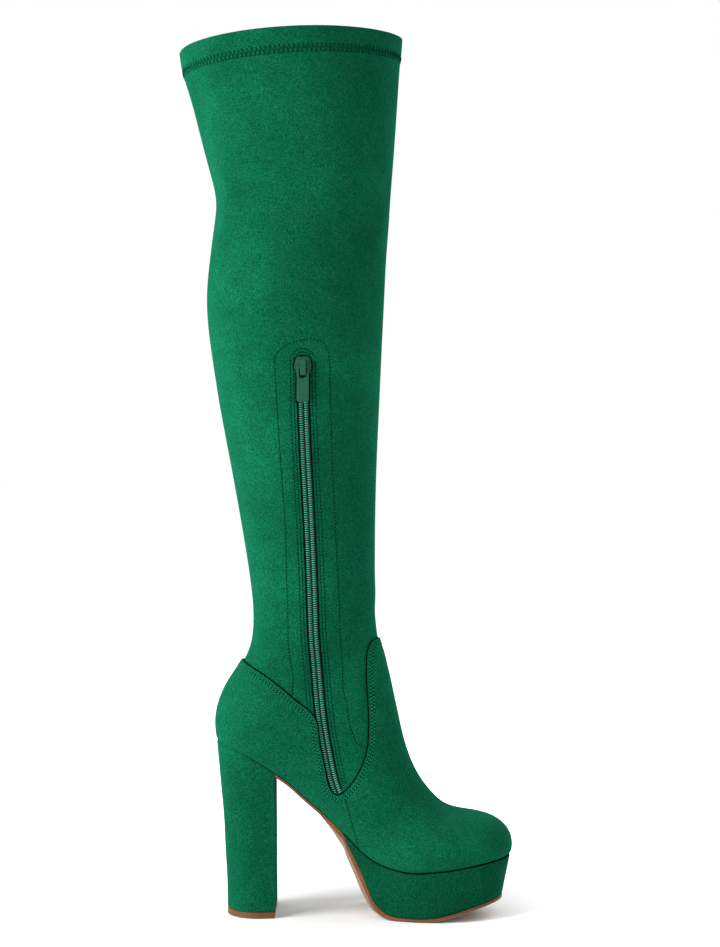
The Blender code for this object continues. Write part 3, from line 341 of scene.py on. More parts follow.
def along(share):
    """The x of a share of the last's length."""
    return share * LAST_LENGTH - LAST_BACK


def share_along(x):
    """The share of the last's length at x."""
    return (x + LAST_BACK) / LAST_LENGTH


FEATHER = table(FEATHER_ROWS, FEATHER_COLUMNS)
FEATHER_LINE = steady_curve(
    FEATHER["along"],
    BALL_HEIGHT + FEATHER["arch"] * (HEEL_HEIGHT - BALL_HEIGHT) + FEATHER["spring"] * TOE_SPRING)
SOLE = table(SOLE_ROWS, SOLE_COLUMNS)
SOLE_LINE = steady_curve(SOLE["along"], SOLE["line"])
SOLE_THICKNESS = steady_curve(SOLE["along"], SOLE["thickness"])
SOLE_SQUARE = steady_curve(SOLE["along"], SOLE["square"])
ZIP = table(ZIP_ROWS, ZIP_COLUMNS)
ZIP_LINE = smooth_curve(ZIP["height"], ZIP["along"])


def feather(x):
    """Height of the seat that the upper stands on."""
    return FEATHER_LINE(share_along(x))


def sole_top(x):
    """Height of the line between the outsole and what is above it."""
    return SOLE_EDGE + SOLE_LINE(share_along(x)) * (feather(x) - SOLE_EDGE)


def zip_middle(z):
    """The x of the zip's middle line at a height."""
    return along(ZIP_LINE(z / BOOT_HEIGHT))


def section_curves():
    """Each value of a section as a curve over the way from the toe to the collar."""
    foot = table(FOOT_ROWS, FOOT_COLUMNS)
    heel = table(HEEL_ROWS, HEEL_COLUMNS)
    depth = np.array([row[0][0] for row in LEG_ROWS])
    width = np.array([row[0][1] for row in LEG_ROWS])
    leg = table([row[1:] for row in LEG_ROWS], LEG_COLUMNS[1:])
    leg_height = BOOT_HEIGHT - ANKLE_LEVEL
    rest = len(HEEL_ROWS) + len(LEG_ROWS)

    bottom_x = np.concatenate([along(foot["bottom"]), along(heel["back"]),
                               LEG_LINE - leg["back"] * depth])
    bottom_z = np.concatenate([feather(along(foot["bottom"])),
                               HEEL_HEIGHT + heel["back_rise"] * COUNTER_HEIGHT,
                               ANKLE_LEVEL + leg["back_rise"] * leg_height])
    front_x = np.concatenate([along(foot["front"]), along(heel["front"]),
                              LEG_LINE + leg["front"] * depth])
    front_z = np.concatenate([BALL_HEIGHT + foot["rise"] * VAMP_HEIGHT,
                              BALL_HEIGHT + heel["front_rise"] * VAMP_HEIGHT,
                              ANKLE_LEVEL + leg["front_rise"] * leg_height])
    front_z[0] = bottom_z[0]
    values = {
        "front_x": front_x,
        "front_z": front_z,
        "centre": np.concatenate([foot["centre"] * BALL_WIDTH, np.zeros(rest)]),
        "medial": np.concatenate([foot["medial"] * BALL_WIDTH, heel["half"] * BALL_WIDTH,
                                  leg["medial"] * width]),
        "lateral": np.concatenate([foot["lateral"] * BALL_WIDTH, heel["half"] * BALL_WIDTH,
                                   leg["lateral"] * width]),
        "widest": np.concatenate([foot["widest"], heel["widest"], leg["widest"]]),
        "crown": np.concatenate([foot["crown"], heel["crown"], leg["crown"]]),
    }
    edge = np.concatenate([foot["medial_edge"] * BALL_WIDTH, np.zeros(rest)])
    low = np.stack([bottom_x, edge, bottom_z], axis=1)
    high = np.stack([front_x, front_z], axis=1)
    way = (np.linalg.norm(np.diff(low, axis=0), axis=1)
           + np.linalg.norm(np.diff(high, axis=0), axis=1)) / 2
    knots = np.concatenate([[0.0], np.cumsum(way)])
    last = len(FOOT_ROWS)
    even = ("front_x", "front_z", "centre", "widest", "crown")
    curves = {name: smooth_curve(knots, column, start_flat=name in even)
              for name, column in values.items()}
    foot_knots = knots[:last]
    for name in ("medial_edge", "lateral_edge"):
        curves[name] = smooth_curve(foot_knots, foot[name] * BALL_WIDTH)
    curves["sole_x"] = smooth_curve(foot_knots, bottom_x[:last], start_flat=True, end_flat=True)
    curves["back_x"] = smooth_curve(knots[last - 1:], bottom_x[last - 1:])
    curves["back_z"] = smooth_curve(knots[last - 1:], bottom_z[last - 1:])
    return knots, curves


KNOTS, CURVES = section_curves()
HEEL_CORNER = KNOTS[len(FOOT_ROWS) - 1]
COLLAR_END = KNOTS[-1]


def is_closed(s):
    """Whether the section at s goes all round, above the sole."""
    return s >= HEEL_CORNER - STEP / 10


def section_value(name, s):
    """One value of the section at s."""
    if name in ("medial_edge", "lateral_edge"):
        return 0.0 if is_closed(s) else max(float(CURVES[name](s)), 0.0)
    if name == "bottom_x":
        return float(CURVES["back_x" if is_closed(s) else "sole_x"](s))
    if name == "bottom_z":
        return float(CURVES["back_z"](s)) if is_closed(s) else float(feather(CURVES["sole_x"](s)))
    return float(CURVES[name](s))


def section_points(s, turn):
    """Points of the section at s. turn is -1 at the medial edge, 0 in front, 1 at the lateral."""
    turn = np.asarray(turn, float)
    if is_closed(s):
        turn = (turn + 1) % 2 - 1
    side = np.where(turn < 0, -1.0, 1.0)
    climb = np.clip(1 - np.abs(turn), 0, 1)
    medial = side < 0
    edge = np.where(medial, section_value("medial_edge", s), section_value("lateral_edge", s))
    wide = np.where(medial, section_value("medial", s), section_value("lateral", s))
    widest = section_value("widest", s)
    low = np.clip(climb / LOW_TURN, 0, 1) * math.pi / 2
    high = np.clip((climb - LOW_TURN) / (1 - LOW_TURN), 0, 1) * math.pi / 2
    share = widest * (1 - np.cos(low)) + (1 - widest) * np.sin(high)
    below = np.sqrt(edge**2 + (wide**2 - edge**2) * np.sin(low)**2)
    above = wide * np.maximum(np.cos(high), 0)**(2 * section_value("crown", s))
    half = np.where(climb <= LOW_TURN, below, above)
    start = np.array([section_value("bottom_x", s), section_value("bottom_z", s)])
    end = np.array([section_value("front_x", s), section_value("front_z", s)])
    x = start[0] + share * (end[0] - start[0])
    z = start[1] + share * (end[1] - start[1])
    y = section_value("centre", s) + side * half
    return np.stack([x, y, z], axis=-1)


def section_normals(s, turn):
    """Outward normals of the section's points."""
    turn = np.asarray(turn, float)
    low_turn = turn - TURN_STEP
    high_turn = turn + TURN_STEP
    if not is_closed(s):
        low_turn = np.maximum(low_turn, -1)
        high_turn = np.minimum(high_turn, 1)
    around = section_points(s, high_turn) - section_points(s, low_turn)
    up = section_points(min(s + STEP, COLLAR_END), turn) - section_points(max(s - STEP, 0), turn)
    normal = np.cross(around, up)
    start = np.array([section_value("bottom_x", s), 0, section_value("bottom_z", s)])
    end = np.array([section_value("front_x", s), 0, section_value("front_z", s)])
    middle = start + MIDDLE_SHARE * (end - start)
    middle[1] = section_value("centre", s)
    points = section_points(s, turn)
    flip = np.where(np.sum(normal * (points - middle), axis=-1) < 0, -1.0, 1.0)
    normal = normal * flip[:, None]
    return normal / np.linalg.norm(normal, axis=-1, keepdims=True)


def edge_normal(s, side):
    """Outward normal in plan of the seat's outline at s."""
    turn = np.array([float(side)])
    tangent = section_points(s + STEP, turn)[0] - section_points(max(s - STEP, 0), turn)[0]
    if s < STEP:
        normal = np.array([1.0, 0.0])
    elif s > HEEL_CORNER - STEP:
        normal = np.array([-1.0, 0.0])
    else:
        normal = np.array([tangent[1], -tangent[0]])
        normal = normal * (1 if normal[1] * side > 0 else -1)
        normal = normal / np.linalg.norm(normal)
    return normal


def edge_point(s, side, offset):
    """The seat's outline in plan at s, moved outward by an offset."""
    point = section_points(s, np.array([float(side)]))[0]
    return point[:2] + edge_normal(s, side) * offset


def wall_row(s, turns, offset, lift):
    """A section's points moved outward; its open ends stand on the seat, raised by lift."""
    if s < STEP:
        x, y = edge_point(0.0, MEDIAL, offset)
        return np.repeat([[x, y, feather(x) + lift]], len(turns), axis=0)
    if is_closed(s) and s > HEEL_CORNER + STEP:
        return section_points(s, turns) + offset * section_normals(s, turns)
    points = section_points(s, turns)
    normals = section_normals(s, turns)
    normals[:, 2] *= np.clip((points[:, 2] - feather(points[:, 0])) / EDGE_BLEND, 0, 1)
    points = points + offset * normals / np.linalg.norm(normals, axis=1)[:, None]
    for i, side in ((0, MEDIAL), (-1, LATERAL)):
        x, y = edge_point(s, side, offset)
        points[i] = (x, y, feather(x) + lift)
    return points


def find_row(x, z):
    """The section that a point seen from the side lies on."""
    low = KNOTS[1]
    high = COLLAR_END
    for _ in range(SEARCHES):
        s = (low + high) / 2
        start = (section_value("bottom_x", s), section_value("bottom_z", s))
        end = (section_value("front_x", s), section_value("front_z", s))
        turned = (end[0] - start[0]) * (z - start[1]) - (end[1] - start[1]) * (x - start[0])
        if turned > 0:
            low = s
        else:
            high = s
    return s


def side_point(x, z, side, offset):
    """The wall's point that is seen at x, z from one side, moved outward by an offset."""
    s = find_row(x, z)
    start = np.array([section_value("bottom_x", s), section_value("bottom_z", s)])
    end = np.array([section_value("front_x", s), section_value("front_z", s)])
    chord = end - start
    share = float(np.clip(np.dot(np.array([x, z]) - start, chord) / np.dot(chord, chord), 0, 1))
    widest = section_value("widest", s)
    if share <= widest:
        climb = LOW_TURN * math.acos(1 - share / widest) / (math.pi / 2)
    else:
        high = math.asin(min((share - widest) / (1 - widest), 1.0))
        climb = LOW_TURN + (1 - LOW_TURN) * high / (math.pi / 2)
    turn = np.array([side * (1 - climb)])
    return section_points(s, turn)[0] + offset * section_normals(s, turn)[0]


def new_object(name, bm, material):
    """A finished object from a bmesh, smooth where it bends softly."""
    bmesh.ops.recalc_face_normals(bm, faces=bm.faces)
    mesh = bpy.data.meshes.new(name)
    bm.to_mesh(mesh)
    bm.free()
    mesh.shade_smooth()
    mesh.set_sharp_from_angle(angle=math.radians(SHARP_ANGLE))
    obj = bpy.data.objects.new(name, mesh)
    bpy.context.scene.collection.objects.link(obj)
    if material is not None:
        mesh.materials.append(material)
    return obj


def wall_between(name, outer, inner, material):
    """A closed wall between two grids of points, joined along their open edges."""
    bm = bmesh.new()
    seen = {}
    grids = []
    for layer, grid in enumerate((outer, inner)):
        verts = []
        for row in grid:
            line = []
            for point in row:
                key = (layer,) + tuple(int(round(c * 1e7)) for c in point)
                if key not in seen:
                    seen[key] = bm.verts.new(point)
                line.append(seen[key])
            verts.append(line)
        grids.append(verts)
    partner = {}
    for line_out, line_in in zip(*grids):
        for vert_out, vert_in in zip(line_out, line_in):
            partner[vert_out] = vert_in
    for verts in grids:
        for i in range(len(verts) - 1):
            for j in range(len(verts[0]) - 1):
                a, b, c, d = verts[i][j], verts[i + 1][j], verts[i + 1][j + 1], verts[i][j + 1]
                for ring in ((a, b, c), (a, c, d)):
                    if len(set(ring)) == 3:
                        bm.faces.new(ring)
    rim = [edge for edge in bm.edges
           if len(edge.link_faces) == 1 and all(v in partner for v in edge.verts)]
    for edge in rim:
        a, b = edge.verts
        bm.faces.new([a, b, partner[b], partner[a]])
    return new_object(name, bm, material)


def prism(name, outline, low, high):
    """A cutter: an outline seen from the side, drawn out from y low to y high."""
    bm = bmesh.new()
    near = [bm.verts.new((x, low, z)) for x, z in outline]
    far = [bm.verts.new((x, high, z)) for x, z in outline]
    bm.faces.new(near)
    bm.faces.new(list(reversed(far)))
    for i in range(len(outline)):
        j = (i + 1) % len(outline)
        bm.faces.new([near[i], far[i], far[j], near[j]])
    bmesh.ops.triangulate(bm, faces=[f for f in bm.faces if len(f.verts) > 4])
    cutter = new_object(name, bm, None)
    cutter.hide_render = True
    cutter.display_type = "WIRE"
    return cutter


def cut(obj, cutter, operation="DIFFERENCE"):
    """Give an object a Boolean with a cutter."""
    modifier = obj.modifiers.new(cutter.name, "BOOLEAN")
    modifier.object = cutter
    modifier.operation = operation
    modifier.solver = "EXACT"


def topline(lap):
    """The upper's top edge from the front to the heel, moved by the lap."""
    vamp = table(VAMP_EDGE, TOPLINE_COLUMNS)
    counter = table(COUNTER_EDGE, TOPLINE_COLUMNS)
    zip_heights = np.linspace(ZIP_BOTTOM, COUNTER_CORNER_HEIGHT, ZIP_EDGE_STOPS)
    zip_edge = [(zip_middle(z) - SLOT_WIDTH / 2 - lap, z) for z in zip_heights]
    zip_edge[0] = (zip_edge[0][0] + lap / 2, ZIP_BOTTOM - lap / 2)
    end = [(zip_middle(ZIP_BOTTOM), ZIP_BOTTOM - ZIP_END_DROP - lap)]

    def moved(edge):
        x = along(edge["along"]) + lap * edge["lap_x"]
        z = BALL_HEIGHT + edge["rise"] * VAMP_HEIGHT + lap * edge["lap_z"]
        return list(zip(x, z))

    points = np.array(moved(vamp) + end + zip_edge + moved(counter))
    way = np.concatenate([[0.0], np.cumsum(np.linalg.norm(np.diff(points, axis=0), axis=1))])
    x = smooth_curve(way, points[:, 0])
    z = smooth_curve(way, points[:, 1])
    stops = np.linspace(0, way[-1], TOPLINE_FINE * len(points))
    return list(zip(x(stops), z(stops)))


def row_at_front(height):
    """The section whose front is at a height."""
    low = HEEL_CORNER
    high = COLLAR_END
    for _ in range(SEARCHES):
        s = (low + high) / 2
        if section_value("front_z", s) < height:
            low = s
        else:
            high = s
    return s


def outline(stops, offset, height):
    """The seat's outline over some sections, with a height for each x."""
    runs = []
    for side in (MEDIAL, LATERAL):
        run = []
        for s in stops:
            shift = offset(s) if callable(offset) else offset
            x, y = edge_point(s, side, shift)
            run.append((x, y, float(height(x))))
        runs.append(run)
    return runs


def sole_stop(x):
    """The way along the seat where its middle is at x."""
    low = 0.0
    high = HEEL_CORNER
    for _ in range(SEARCHES):
        s = (low + high) / 2
        if section_value("bottom_x", s) > x:
            low = s
        else:
            high = s
    return s


def sole_edge_offset(s):
    """How far the outsole's edge stands out from the seat's own line."""
    flush = GAP + UPPER_WALL
    rake = toe_share(s) * (PLATFORM_RAKE - PLATFORM_DRAFT)
    forefoot = flush + PLATFORM_FLANGE - PLATFORM_DRAFT - rake
    mix = float(np.clip((TAIL - s) / PLATFORM_BLEND, 0, 1))
    return flush * (1 - mix) + forefoot * mix


def toe_share(s):
    """1 at the toe's tip and 0 from the ball back."""
    return float(np.clip(1 - s / KNOTS[BALL_ROW], 0, 1))**RAKE_BEND


def platform_tail():
    """Where the platform thins out at its rear end."""
    low = sole_stop(along(0.60))
    high = sole_stop(along(0.40))
    for _ in range(SEARCHES):
        s = (low + high) / 2
        x = section_value("bottom_x", s)
        if feather(x) - sole_top(x) > PLATFORM_TAIL + GAP:
            low = s
        else:
            high = s
    return s


def slider_frame():
    """The slider's seat on the coil, and its sideways, upward and outward directions."""
    seat = side_point(zip_middle(SLIDER_MIDDLE), SLIDER_MIDDLE, MEDIAL, COIL_PROUD + GAP)
    high = SLIDER_MIDDLE + SLIDER_REACH
    low = SLIDER_MIDDLE - SLIDER_REACH
    above = side_point(zip_middle(high), high, MEDIAL, 0.0)
    below = side_point(zip_middle(low), low, MEDIAL, 0.0)
    up = (above - below) / np.linalg.norm(above - below)
    out = np.cross(np.array([1.0, 0.0, 0.0]), up)
    out = out / np.linalg.norm(out)
    across = np.cross(up, out)
    return seat, across, up, out


def placed(frame, across, up, out):
    """A point of the slider's own frame in the boot's."""
    seat, x_way, z_way, out_way = frame
    return seat + across * x_way + up * z_way + out * out_way


# Fineness of the visible skins
ROW_STEP = 0.0026
TOE_STEP = 0.0009
HEM_ROW = 0.0006
SKIN_TURNS = 145

# Seams and stitches
PITCH = 0.0026
STITCH = 0.0014
THREAD = 0.00028
PIT = 0.0005
STITCH_LIFT = 0.0002
PIT_LIFT = 0.00006
ZIP_EDGE_ROWS = (0.0024, 0.0048)
PANEL_ROWS = (0.0021, 0.0039)
# Widths of the dark lines, which are painted shadow in gaps and grooves: panel edges, the
# platform's seam, the zip's slot, the slider's outline and the hem
EDGE_LINE = 0.00052
SEAM_LINE = 0.00045
SLOT_LINE = 0.00040
SLIDER_LINE = 0.00052
RECESS_LIFT = 0.00006
HEM_LINE = 0.00028
# The slit at the platform's rear end, where its seam stops for a few millimetres
SEAM_BREAK = (0.0795, 0.0855)
HEM_ZIGZAG = (0.0007, 0.0053)
HEM_PITCH = 0.0034
HEM_THREAD_SINK = 0.0003
HEM_THREAD_LIFT = 0.00012
HEM_HOLE_LIFT = 0.00008
HEM_HOLE = (0.0006, 0.0005)
HEM_GROOVE = 0.00028
HEM_GROOVE_LEVEL = 0.003
HEM_GROOVE_WIDTH = 0.0022
COLLAR_ROUND = 0.0005
COLLAR_ROUND_HEIGHT = 0.0009
# The quarter seam's dark line is painted shadow in its groove
QUARTER_LINE = 0.00022
QUARTER_LIFT = 0.00002
TUBE_STEP = 0.0015

# The upper's edge, drawn in where it meets the seat
SEAT_ROLL = 0.0026
SEAT_INSET = 0.0010

# How far the covers' edges are rounded off
PLATFORM_ROUND = 0.0009
HEEL_ROUND = 0.0007
TOP_PIECE_ROUND = 0.0005
SOLE_ROUND = 0.0003

# Dyed suede
SUEDE_COLOUR = (0.0017, 0.0515, 0.0238)
# the platform's cover uses a darker copy of the same suede: painted shade
COVER_PAINTED_SHADE = 0.63

# Floor: white, with a painted contact shadow, a grey patch under the arch that fades to white
# further out
FLOOR_SHADOW_TONE = 0.66
FLOOR_SHADOW_CENTRE = (0.065, 0.02, 0.0)
FLOOR_SHADOW_RADII = (0.05, 0.17)
FLOOR_REACH = 60

# Each area light's name, place, target, size and power
LIGHTS = [
    ("key", (-1.75, -1.05, 1.0), (0.04, 0.0, 0.33), (1.3, 1.5), 108.0),
    ("back_fill", (1.5, 1.3, 1.25), (0.12, 0.0, 0.1), (1.0, 1.0), 20.0),
]
CAMERA_PLACE = (0.08025, -1.381, 0.3281)
CAMERA_LENS = 70.0
CAMERA_SENSOR = 36.0

# Zip
TOOTH_PITCH = 0.00165
TOOTH_RADIUS = 0.00054

# Folds as (side, width, depth, line seen from the side), in metres. A depth above 0 is a trough,
# below 0 a ridge. Side -1 is medial, 1 lateral and 0 both.
CREASES = [
    (0, 0.012, 0.0006, [(0.010, 0.300), (0.018, 0.262), (0.019, 0.225)]),
    (-1, 0.008, 0.0005, [(0.005, 0.232), (0.022, 0.214), (0.034, 0.196)]),
    (-1, 0.007, -0.0005, [(0.002, 0.221), (0.016, 0.206), (0.028, 0.190)]),
    (-1, 0.007, 0.0005, [(0.062, 0.230), (0.066, 0.196), (0.072, 0.160)]),
    (-1, 0.006, -0.0004, [(0.074, 0.215), (0.077, 0.180), (0.080, 0.150)]),
    (1, 0.008, 0.0006, [(0.010, 0.230), (0.040, 0.216), (0.070, 0.222)]),
    (1, 0.008, 0.0005, [(0.015, 0.205), (0.045, 0.193), (0.080, 0.200)]),
    (0, 0.016, 0.0010, [(-0.010, 0.530), (0.020, 0.522), (0.055, 0.530)]),
    (0, 0.014, -0.0006, [(-0.012, 0.505), (0.018, 0.500), (0.060, 0.512)]),
    (0, 0.018, 0.0007, [(0.020, 0.600), (0.035, 0.560), (0.045, 0.520)]),
    (0, 0.016, -0.0006, [(0.055, 0.610), (0.060, 0.575), (0.066, 0.535)]),
    (0, 0.012, 0.0004, [(0.000, 0.480), (0.024, 0.465), (0.060, 0.470)]),
]

# The facing's outer stitch beside the zip, seen from the side in metres, from the front's foot
FACING = [
    (0.0846, 0.1252), (0.0773, 0.1304), (0.0722, 0.1435), (0.0711, 0.1560), (0.0678, 0.1677),
    (0.0671, 0.1874), (0.0656, 0.2105), (0.0650, 0.2350), (0.0636, 0.2618), (0.0614, 0.3060),
    (0.0600, 0.3357), (0.0592, 0.3654), (0.0583, 0.4047), (0.0575, 0.4158), (0.0536, 0.4235),
    (0.0436, 0.4256), (0.0347, 0.4235), (0.0281, 0.4213), (0.0225, 0.4174), (0.0187, 0.4125),
    (0.0186, 0.4096), (0.0200, 0.3800), (0.0216, 0.3531), (0.0237, 0.3205), (0.0259, 0.2908),
    (0.0266, 0.2466), (0.0274, 0.2292), (0.0276, 0.2042), (0.0291, 0.1918), (0.0313, 0.1801),
    (0.0305, 0.1648),
]

# Where the vamp meets the quarters, seen from the side in metres
QUARTER_SEAM = [(0.0684, 0.098), (0.0689, 0.0934), (0.0701, 0.0866), (0.0740, 0.0730),
                (0.0768, 0.0618), (0.0799, 0.0504), (0.0812, 0.0440)]


def plain_mesh(name, points, faces, materials, indices=None):
    """A smooth mesh from points and faces."""
    mesh = bpy.data.meshes.new(name)
    mesh.from_pydata([tuple(p) for p in points], [], faces)
    for material in materials:
        mesh.materials.append(material)
    if indices is not None:
        mesh.polygons.foreach_set("material_index", indices)
    mesh.update()
    mesh.shade_smooth()
    obj = bpy.data.objects.new(name, mesh)
    bpy.context.scene.collection.objects.link(obj)
    return obj


def finished(obj, body, slot, *nodes):
    """Tie a piece to its body and hide the CAD nodes that it stands for. The slot is not used."""
    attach(obj, body)
    if nodes:
        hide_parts(*nodes)
    return obj


def applied(obj):
    """The object with its modifiers made real and its cutters removed."""
    cutters = [modifier.object for modifier in obj.modifiers]
    shape = obj.evaluated_get(bpy.context.evaluated_depsgraph_get())
    mesh = bpy.data.meshes.new_from_object(shape)
    obj.modifiers.clear()
    old = obj.data
    obj.data = mesh
    bpy.data.meshes.remove(old)
    for cutter in cutters:
        bpy.data.objects.remove(cutter, do_unlink=True)
    mesh.shade_smooth()
    mesh.set_sharp_from_angle(angle=math.radians(38))
    return obj


def polyline_distance(x, z, line):
    """Distance from points to a line seen from the side, and which side of it they are on."""
    line = np.asarray(line, float)
    points = np.stack([x, z], axis=-1)
    best = np.full(x.shape, np.inf)
    sign = np.ones(x.shape)
    share_at_best = np.zeros(x.shape)
    lengths = np.linalg.norm(np.diff(line, axis=0), axis=1)
    way = np.concatenate([[0.0], np.cumsum(lengths)])
    for k in range(len(line) - 1):
        step = line[k + 1] - line[k]
        offset = points - line[k]
        share = np.clip(offset @ step / max(step @ step, 1e-12), 0, 1)
        gap = offset - share[..., None] * step
        distance = np.linalg.norm(gap, axis=-1)
        turned = step[0] * offset[..., 1] - step[1] * offset[..., 0]
        closer = distance < best
        best = np.where(closer, distance, best)
        sign = np.where(closer, np.where(turned < 0, 1.0, -1.0), sign)
        share_at_best = np.where(closer, (way[k] + share * lengths[k]) / way[-1], share_at_best)
    return best, sign, share_at_best


def relief(points, turns):
    """Height of the folds at each point of a row."""
    height = np.zeros(len(points))
    for side, width, depth, line in CREASES:
        distance, _, share = polyline_distance(points[:, 0], points[:, 2], line)
        on_side = np.ones(len(points)) if side == 0 else np.clip(np.asarray(turns) * side * 6, 0, 1)
        ends = np.sin(np.pi * np.clip(share, 0.03, 0.97))**0.7
        height -= depth * np.exp(-(distance / width)**2) * ends * on_side
    return height


def skin(rows, turns, offsets, lift, folded=True, rolled=False):
    """Points and outward normals of a fine wall."""
    points = []
    normals = []
    for s, offset in zip(rows, offsets):
        line = wall_row(s, turns, offset, lift)
        if s < STEP:
            way = np.repeat([[1.0, 0.0, 0.0]], len(turns), axis=0)
        else:
            way = section_normals(s, turns)
        if rolled:
            above = np.clip((line[:, 2] - feather(line[:, 0])) / SEAT_ROLL, 0, 1)
            line = line - way * (SEAT_INSET * (1 - above)**2)[:, None]
        if folded:
            fade = np.clip((line[:, 2] - feather(line[:, 0])) / 0.02, 0, 1)
            line = line + way * (relief(line, turns) * fade)[:, None]
        points.append(line)
        normals.append(way)
    return np.array(points), np.array(normals)


def level_chains(field):
    """Chains of places on a grid where a field is zero, as fractions of rows and columns."""
    above = field > 0
    crossed = ((above[:-1, :-1] != above[1:, :-1]) | (above[:-1, :-1] != above[:-1, 1:])
               | (above[:-1, :-1] != above[1:, 1:]))
    places = {}
    links = {}
    for i, j in zip(*np.nonzero(crossed)):
        found = []
        for a, b in (((i, j), (i, j + 1)), ((i, j), (i + 1, j)),
                     ((i + 1, j), (i + 1, j + 1)), ((i, j + 1), (i + 1, j + 1))):
            if above[a] != above[b]:
                share = field[a] / (field[a] - field[b])
                places[(a, b)] = (a[0] + share * (b[0] - a[0]), a[1] + share * (b[1] - a[1]))
                found.append((a, b))
        for k in range(0, len(found) - 1, 2):
            links.setdefault(found[k], []).append(found[k + 1])
            links.setdefault(found[k + 1], []).append(found[k])
    chains = []
    left = set(links)
    starts = [key for key in links if len(links[key]) == 1] + list(links)
    for start in starts:
        if start not in left:
            continue
        chain = [start]
        left.discard(start)
        while True:
            ahead = [key for key in links[chain[-1]] if key in left]
            if not ahead:
                break
            chain.append(ahead[0])
            left.discard(ahead[0])
        if len(chain) > 3:
            chains.append(np.array([places[key] for key in chain]))
    return chains


def on_grid(grid, places):
    """A grid's values at places between its points."""
    i = np.clip(places[:, 0].astype(int), 0, grid.shape[0] - 2)
    j = np.clip(places[:, 1].astype(int), 0, grid.shape[1] - 2)
    u = (places[:, 0] - i)[:, None]
    v = (places[:, 1] - j)[:, None]
    return ((1 - u) * (1 - v) * grid[i, j] + u * (1 - v) * grid[i + 1, j]
            + (1 - u) * v * grid[i, j + 1] + u * v * grid[i + 1, j + 1])


def surface_lines(surface, field, keep):
    """Lines on a skin where a field is zero, cut to where keep holds."""
    points, normals = surface
    lines = []
    for chain in level_chains(field):
        at = on_grid(points, chain)
        way = on_grid(normals, chain)
        good = keep(at)
        start = None
        for k in range(len(at) + 1):
            inside = k < len(at) and good[k]
            if inside and start is None:
                start = k
            if not inside and start is not None:
                if k - start > 3:
                    lines.append((at[start:k], way[start:k]))
                start = None
    return lines


def resampled(line, step, phase=0.0):
    """Points, normals and tangents at even steps along a line."""
    points, normals = line
    way = np.concatenate([[0.0], np.cumsum(np.linalg.norm(np.diff(points, axis=0), axis=1))])
    stops = np.arange(phase, way[-1], step)
    at = np.stack([np.interp(stops, way, points[:, k]) for k in range(3)], axis=1)
    ahead = np.stack([np.interp(stops + step / 4, way, points[:, k]) for k in range(3)], axis=1)
    behind = np.stack([np.interp(stops - step / 4, way, points[:, k]) for k in range(3)], axis=1)
    up = np.stack([np.interp(stops, way, normals[:, k]) for k in range(3)], axis=1)
    up = up / np.linalg.norm(up, axis=1)[:, None]
    tangent = ahead - behind
    tangent = tangent / np.maximum(np.linalg.norm(tangent, axis=1), 1e-9)[:, None]
    return at, up, tangent


def capsules(places, sides=5):
    """Small rounded bars. Each place is (centre, tangent, normal, length, radius, sink)."""
    points = []
    faces = []
    profile = [(-0.5, 0.35, -1.0), (-0.3, 0.9, 0.0), (0.3, 0.9, 0.0), (0.5, 0.35, -1.0)]
    for centre, tangent, normal, length, radius, sink in places:
        across = np.cross(normal, tangent)
        base = len(points)
        for t, wide, drop in profile:
            ring = centre + tangent * (t * length) + normal * (drop * sink)
            for k in range(sides):
                a = 2 * math.pi * k / sides
                points.append(ring + across * (math.cos(a) * radius * wide)
                              + normal * (math.sin(a) * radius * wide))
        for r in range(len(profile) - 1):
            for k in range(sides):
                m = (k + 1) % sides
                faces.append((base + r * sides + k, base + r * sides + m,
                              base + (r + 1) * sides + m, base + (r + 1) * sides + k))
        faces.append(tuple(base + k for k in range(sides))[::-1])
        faces.append(tuple(base + (len(profile) - 1) * sides + k for k in range(sides)))
    return points, faces


def discs(places, sides=6):
    """Small flat spots. Each place is (centre, tangent, normal, half length, half width)."""
    points = []
    faces = []
    for centre, tangent, normal, long, wide in places:
        across = np.cross(normal, tangent)
        base = len(points)
        for k in range(sides):
            a = 2 * math.pi * k / sides
            points.append(centre + tangent * (math.cos(a) * long) + across * (math.sin(a) * wide))
        faces.append(tuple(range(base, base + sides)))
    return points, faces


def stitched(name, lines, thread, pit):
    """Rows of stitches with their needle holes drawn as flat dark spots of painted shade, as one
    piece.
    """
    bars = []
    holes = []
    for line in lines:
        at, up, tangent = resampled(line, PITCH, PITCH / 2)
        for centre, normal, way in zip(at, up, tangent):
            bars.append((centre + normal * STITCH_LIFT * 0.6, way, normal, STITCH, THREAD,
                         STITCH_LIFT * 1.6))
            holes.append((centre + way * PITCH / 2 + normal * PIT_LIFT, way, normal,
                          (PITCH - STITCH) * 0.55, PIT))
    points, faces = capsules(bars)
    more_points, more_faces = discs(holes)
    base = len(points)
    faces_all = faces + [tuple(base + v for v in face) for face in more_faces]
    indices = [0] * len(faces) + [1] * len(more_faces)
    obj = plain_mesh(name, points + more_points, faces_all, [thread, pit], indices)
    return finished(obj, "boot", "green_suede")


def tubes(name, lines, radius, lift, material, sides=6, step=TUBE_STEP):
    """Thin tubes along lines on a skin, as one piece."""
    points = []
    faces = []
    for line in lines:
        at, up, tangent = resampled(line, step)
        across = np.cross(up, tangent)
        base = len(points)
        for k in range(len(at)):
            for m in range(sides):
                a = 2 * math.pi * m / sides
                points.append(at[k] + up[k] * (lift + math.sin(a) * radius)
                              + across[k] * (math.cos(a) * radius))
        for k in range(len(at) - 1):
            for m in range(sides):
                n = (m + 1) % sides
                faces.append((base + k * sides + m, base + k * sides + n,
                              base + (k + 1) * sides + n, base + (k + 1) * sides + m))
    return finished(plain_mesh(name, points, faces, [material]), "boot", "green_suede")


def node_material(name):
    """An empty node material with its Principled shader."""
    material = bpy.data.materials.new(name)
    material.use_nodes = True
    tree = material.node_tree
    return material, tree, tree.nodes["Principled BSDF"]


